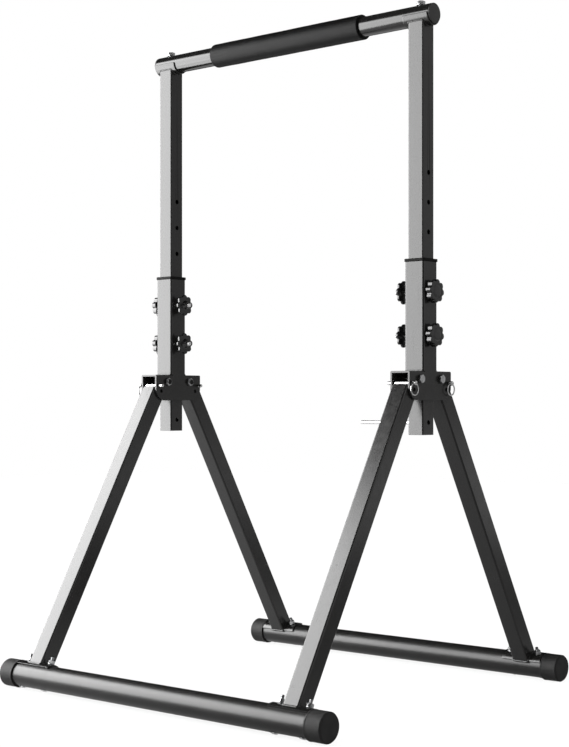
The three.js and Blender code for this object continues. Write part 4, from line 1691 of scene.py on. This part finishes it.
@dataclass(frozen=True)
class BaseRail:
    """A round base tube with its rubber feet and the bolts of the two foot plates."""

    end: End
    wall: float = 2.0
    cap_radius: float = 31.3
    cap_length: float = 42.3
    cap_end: float = 5.0
    cap_chamfer: float = 3.0
    bolt_spacing: float = 72.0
    bolt_tip: float = 8.0
    bolt_twist: float = math.radians(23)
    cup_radius: float = 8.0
    cup_height: float = 2.2

    @property
    def axis(self) -> Vector:
        """Middle of the tube."""
        return middle(f"base_tube_{self.end.word}")

    def tube(self) -> Form:
        """The bare tube."""
        half, radius = span(f"base_tube_{self.end.word}")[1].x, STOCK.base_radius
        return pipe(radius, radius - self.wall, -half, half, 0.4, 96).placed(moved(*self.axis) @ along_x())

    def cap(self, side: Side) -> Form:
        """A rubber foot: a cup with a rounded end, a moulded lip and a flat to stand on."""
        bore, full, chamfer, inmost = STOCK.base_seat, self.cap_radius, self.cap_chamfer, -self.cap_length
        outer = softened([
            (bore, inmost), (full, inmost), (full, inmost + 3.2), (full - 0.5, inmost + 4.2),
            (full - 0.5, -chamfer - 0.5), (full - chamfer, -0.2), (full - chamfer - 7, 0),
        ], 0.9)
        profile = [(0, -self.cap_end), (bore, -self.cap_end), *outer, (0, 0)]
        low, high = span(f"base_cap_{side.word}_{self.end.word}")
        x = high.x if side is Side.RIGHT else low.x
        form = lathe(profile, 96).placed(place(x, self.axis.y, self.axis.z, side.turn) @ along_x())
        return form.shaped(lambda point: Vector((point.x, point.y, max(point.z, 0.0))))

    def bolt(self) -> Form:
        """A cup-head bolt about the tube's axis, with washer and nut on the foot plate."""
        under, cup_radius = -STOCK.base_seat, self.cup_radius
        cup_top = under - self.cup_height
        washer = STOCK.base_seat + STOCK.foot_plate + STOCK.seat_gap
        nut = washer + FOOT_FASTENER.washer_thickness
        top = nut + FOOT_FASTENER.nut_height
        cup = lathe([(0, cup_top), (3.0, cup_top + 0.1), (cup_radius - 2.6, cup_top + 0.7),
                     (cup_radius - 0.5, under - 0.9), (cup_radius, under - 0.2), (0, under)], 40)
        return (cup + FOOT_FASTENER.washer(washer) + FOOT_FASTENER.nut(nut)
                + FOOT_FASTENER.shank(under - 0.5, top + self.bolt_tip, nut - 2))

    def build(self) -> None:
        """Makes and dresses tube, feet and bolts."""
        end, body, side_share = self.end.word, f"{self.end.word}_leg_frame", 0.4
        piece(f"base_rail_{end}", self.tube(), RAIL_COAT, body, f"base_tube_{end}")
        bolt = self.bolt()
        for side in Side:
            name = f"{side.word}_{end}"
            piece(f"rubber_foot_{name}", self.cap(side), RUBBER, body, f"base_cap_{name}", crease=45)
            for reach in Reach:
                x = middle(f"sleeve_{side.word}").x + side.value * reach.value * self.bolt_spacing / 2
                twist = Matrix.Rotation(self.bolt_twist * (reach.value + side.value * side_share), 4, "Z")
                where = place(x, self.axis.y, self.axis.z, self.end.turn, STOCK.foot_tilt) @ twist
                node = f"foot_bolt_{name}_{reach.word}"
                piece(f"{node}_steel", bolt.placed(where), ZINC, body, node, edge=0.2)


# Studio, in metres


@dataclass(frozen=True)
class Camera:
    """The photograph's viewpoint: a level camera, with the frame shifted to hold the object."""

    place: tuple[float, float, float] = (2.2894, -2.6901, 0.6467)
    heading: float = math.radians(40.51)
    focal_pixels: float = 1537.3
    horizon_pixels: float = 401.85
    image_height: float = 747.0
    sensor: float = 36.0

    def build(self) -> None:
        """Sets the camera up."""
        data = bpy.data.cameras.new("camera")
        data.sensor_width = self.sensor
        data.lens = self.focal_pixels / self.image_height * self.sensor
        data.shift_y = (self.horizon_pixels - self.image_height / 2) / self.image_height
        camera = linked("camera", data)
        camera.location = self.place
        camera.rotation_euler = (QUARTER_TURN, 0, self.heading)
        bpy.context.scene.camera = camera


def sheet(name: str, width: float, height: float, material: bpy.types.Material) -> bpy.types.Object:
    """A flat rectangle about its own middle, facing up."""
    x, y = width / 2, height / 2
    mesh = bpy.data.meshes.new(name)
    mesh.from_pydata([(-x, -y, 0), (x, -y, 0), (x, y, 0), (-x, y, 0)], [], [(0, 1, 2, 3)])
    mesh.materials.append(material)
    return linked(name, mesh)


def aimed(item: bpy.types.Object, where: Sequence[float], facing: Vector, axis: str) -> None:
    """Puts a thing somewhere with one of its axes towards a direction."""
    item.location = where
    item.rotation_mode = "QUATERNION"
    item.rotation_quaternion = facing.to_track_quat(axis, "Y")


@dataclass(frozen=True)
class Panel:
    """A flat panel that only reflections see: a softbox, or a dark flag where it hardly glows.

    The glow changes evenly from one end of the panel to the other, and can fade out at the top.
    """

    name: str
    centre: tuple[float, float, float]
    facing: tuple[float, float, float]
    width: float
    height: float
    first_glow: float
    last_glow: float
    fade_above: float = 0.0

    def material(self) -> bpy.types.Material:
        """The panel's own light."""
        material, graph = new_graph(self.name)
        share = graph.along(0).clipped(-self.width / 2, self.width / 2)
        glow = self.first_glow + share * (self.last_glow - self.first_glow)
        if self.fade_above:
            glow = glow * (1 - graph.along(1).clipped(self.height / 2 - self.fade_above, self.height / 2))
        graph.end(graph.light(glow))
        return material

    def build(self) -> None:
        """Hangs the panel."""
        panel = sheet(self.name, self.width, self.height, self.material())
        aimed(panel, self.centre, Vector(self.facing), "Z")
        panel.visible_camera = False
        panel.visible_diffuse = False
        panel.visible_shadow = False
        panel.visible_transmission = False


PANELS = [
    Panel("softbox", (-2.26, -1.84, 1.65), (1, 1, 0), 3.8, 3.3, 8.5, 17.5, fade_above=0.5),
    Panel("floor_card", (-2.3, -1.65, 0.02), (0, 0, 1), 2.0, 2.7, 10.0, 10.0),
    Panel("flag_above", (0, 0, 4.4), (0, 0, -1), 10.0, 10.0, 0.04, 0.04),
    Panel("flag_beside_camera", (1.4, -4.1, 1.6), (-0.52, 0.85, 0), 8.5, 4.4, 0.015, 0.015),
    Panel("flag_behind", (-2.2, 2.95, 2.0), (0.65, -0.76, 0), 6.4, 4.4, 0.015, 0.015),
    Panel("grey_wall", (2.4, 3.4, 1.9), (-0.58, -0.81, 0), 5.0, 4.2, 0.45, 0.45),
    Panel("low_card", (2.65, 3.1, 0.3), (-0.58, -0.81, 0), 2.6, 0.9, 0.9, 0.9, fade_above=0.4),
]


@dataclass(frozen=True)
class Studio:
    """Plain white surroundings, soft lamps, and the panels that the gloss shows."""

    floor_size: float = 16.0
    floor_drop: float = 0.0006
    eye_glow: float = 0.5
    see_through: float = 0.8
    left_gloss: float = 0.98
    right_gloss: float = 0.05
    floor_white: float = 1.0
    gloss_white: float = 0.2
    bounce_white: float = 0.85
    surround: float = 0.55
    lamp_size: float = 2.4
    lamp_aim: float = 0.7
    key_power: float = 60.0
    fill_power: float = 24.0

    def build_world(self) -> None:
        """White round everything, and a plain level of light on the object."""
        world = bpy.data.worlds.new("surround")
        bpy.context.scene.world = world
        world.use_nodes = True
        graph = Graph(world.node_tree)
        strength = self.surround + graph.seen_by("Camera", "Glossy", "Transmission") * (1 - self.surround)
        background = graph.node("ShaderNodeBackground", {"Color": WHITE, "Strength": strength})
        graph.end(background, "ShaderNodeOutputWorld")

    def floor_material(self) -> bpy.types.Material:
        """White to the eye and pale to the rest.

        The eye sees through most of it, because folded legs reach below it: the white behind it is
        as bright as the floor, so at rest it looks whole.
        """
        material, graph = new_graph("floor")
        eye, gloss = graph.seen_by("Camera", "Transmission"), graph.seen_by("Glossy")
        share = graph.along(0).clipped(-1.0, 1.0)
        near = self.left_gloss + share * (self.right_gloss - self.left_gloss)
        white = (self.bounce_white + eye * (self.floor_white - self.bounce_white)
                 + gloss * (self.gloss_white - self.bounce_white))
        level = graph.node("ShaderNodeCombineColor", {0: white, 1: white, 2: white})
        matt = graph.node("ShaderNodeBsdfDiffuse", {"Color": level})
        glow = graph.light(eye * self.eye_glow + gloss * near)
        both = graph.node("ShaderNodeAddShader", {0: glow, 1: matt})
        clear = graph.node("ShaderNodeBsdfTransparent", {})
        graph.end(graph.node("ShaderNodeMixShader", {0: eye * self.see_through, 1: both, 2: clear}))
        return material

    def build_floor(self) -> None:
        """Lays the floor, a hair under the feet."""
        floor = sheet("floor", self.floor_size, self.floor_size, self.floor_material())
        floor.location.z = -self.floor_drop

    def build_lamp(self, name: str, where: tuple[float, float, float], power: float) -> None:
        """Hangs a soft lamp that lights surfaces but isn't mirrored in them."""
        data = bpy.data.lights.new(name, "AREA")
        data.shape = "DISK"
        data.size = self.lamp_size
        data.energy = power
        lamp = linked(name, data)
        aimed(lamp, where, Vector((0, 0, self.lamp_aim)) - Vector(where), "-Z")
        lamp.visible_camera = False
        lamp.visible_glossy = False

    def build(self) -> None:
        """Sets up world, floor, lamps and panels."""
        self.build_world()
        self.build_floor()
        self.build_lamp("key", (-2.6, -3.0, 3.2), self.key_power)
        self.build_lamp("fill", (2.8, -1.6, 2.6), self.fill_power)
        for panel in PANELS:
            panel.build()
        bpy.context.scene.view_settings.view_transform = "Standard"


def main() -> None:
    """Builds the stand, piece by piece, and the studio round it."""
    logging.basicConfig(level=logging.INFO, format="%(name)s: %(message)s")
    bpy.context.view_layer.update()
    Camera().build()
    Studio().build()
    Crossbar().build()
    StopPin().build()
    for side in Side:
        SleeveColumn(side).build()
        for end in End:
            PivotBolt(side, end).build()
            LockPin(side, end).build()
            Leg(side, end).build()
        for reach in Reach:
            for level in Level:
                StarKnob(side, reach, level).build()
    for end in End:
        BaseRail(end).build()


if __name__ == "__main__":
    main()
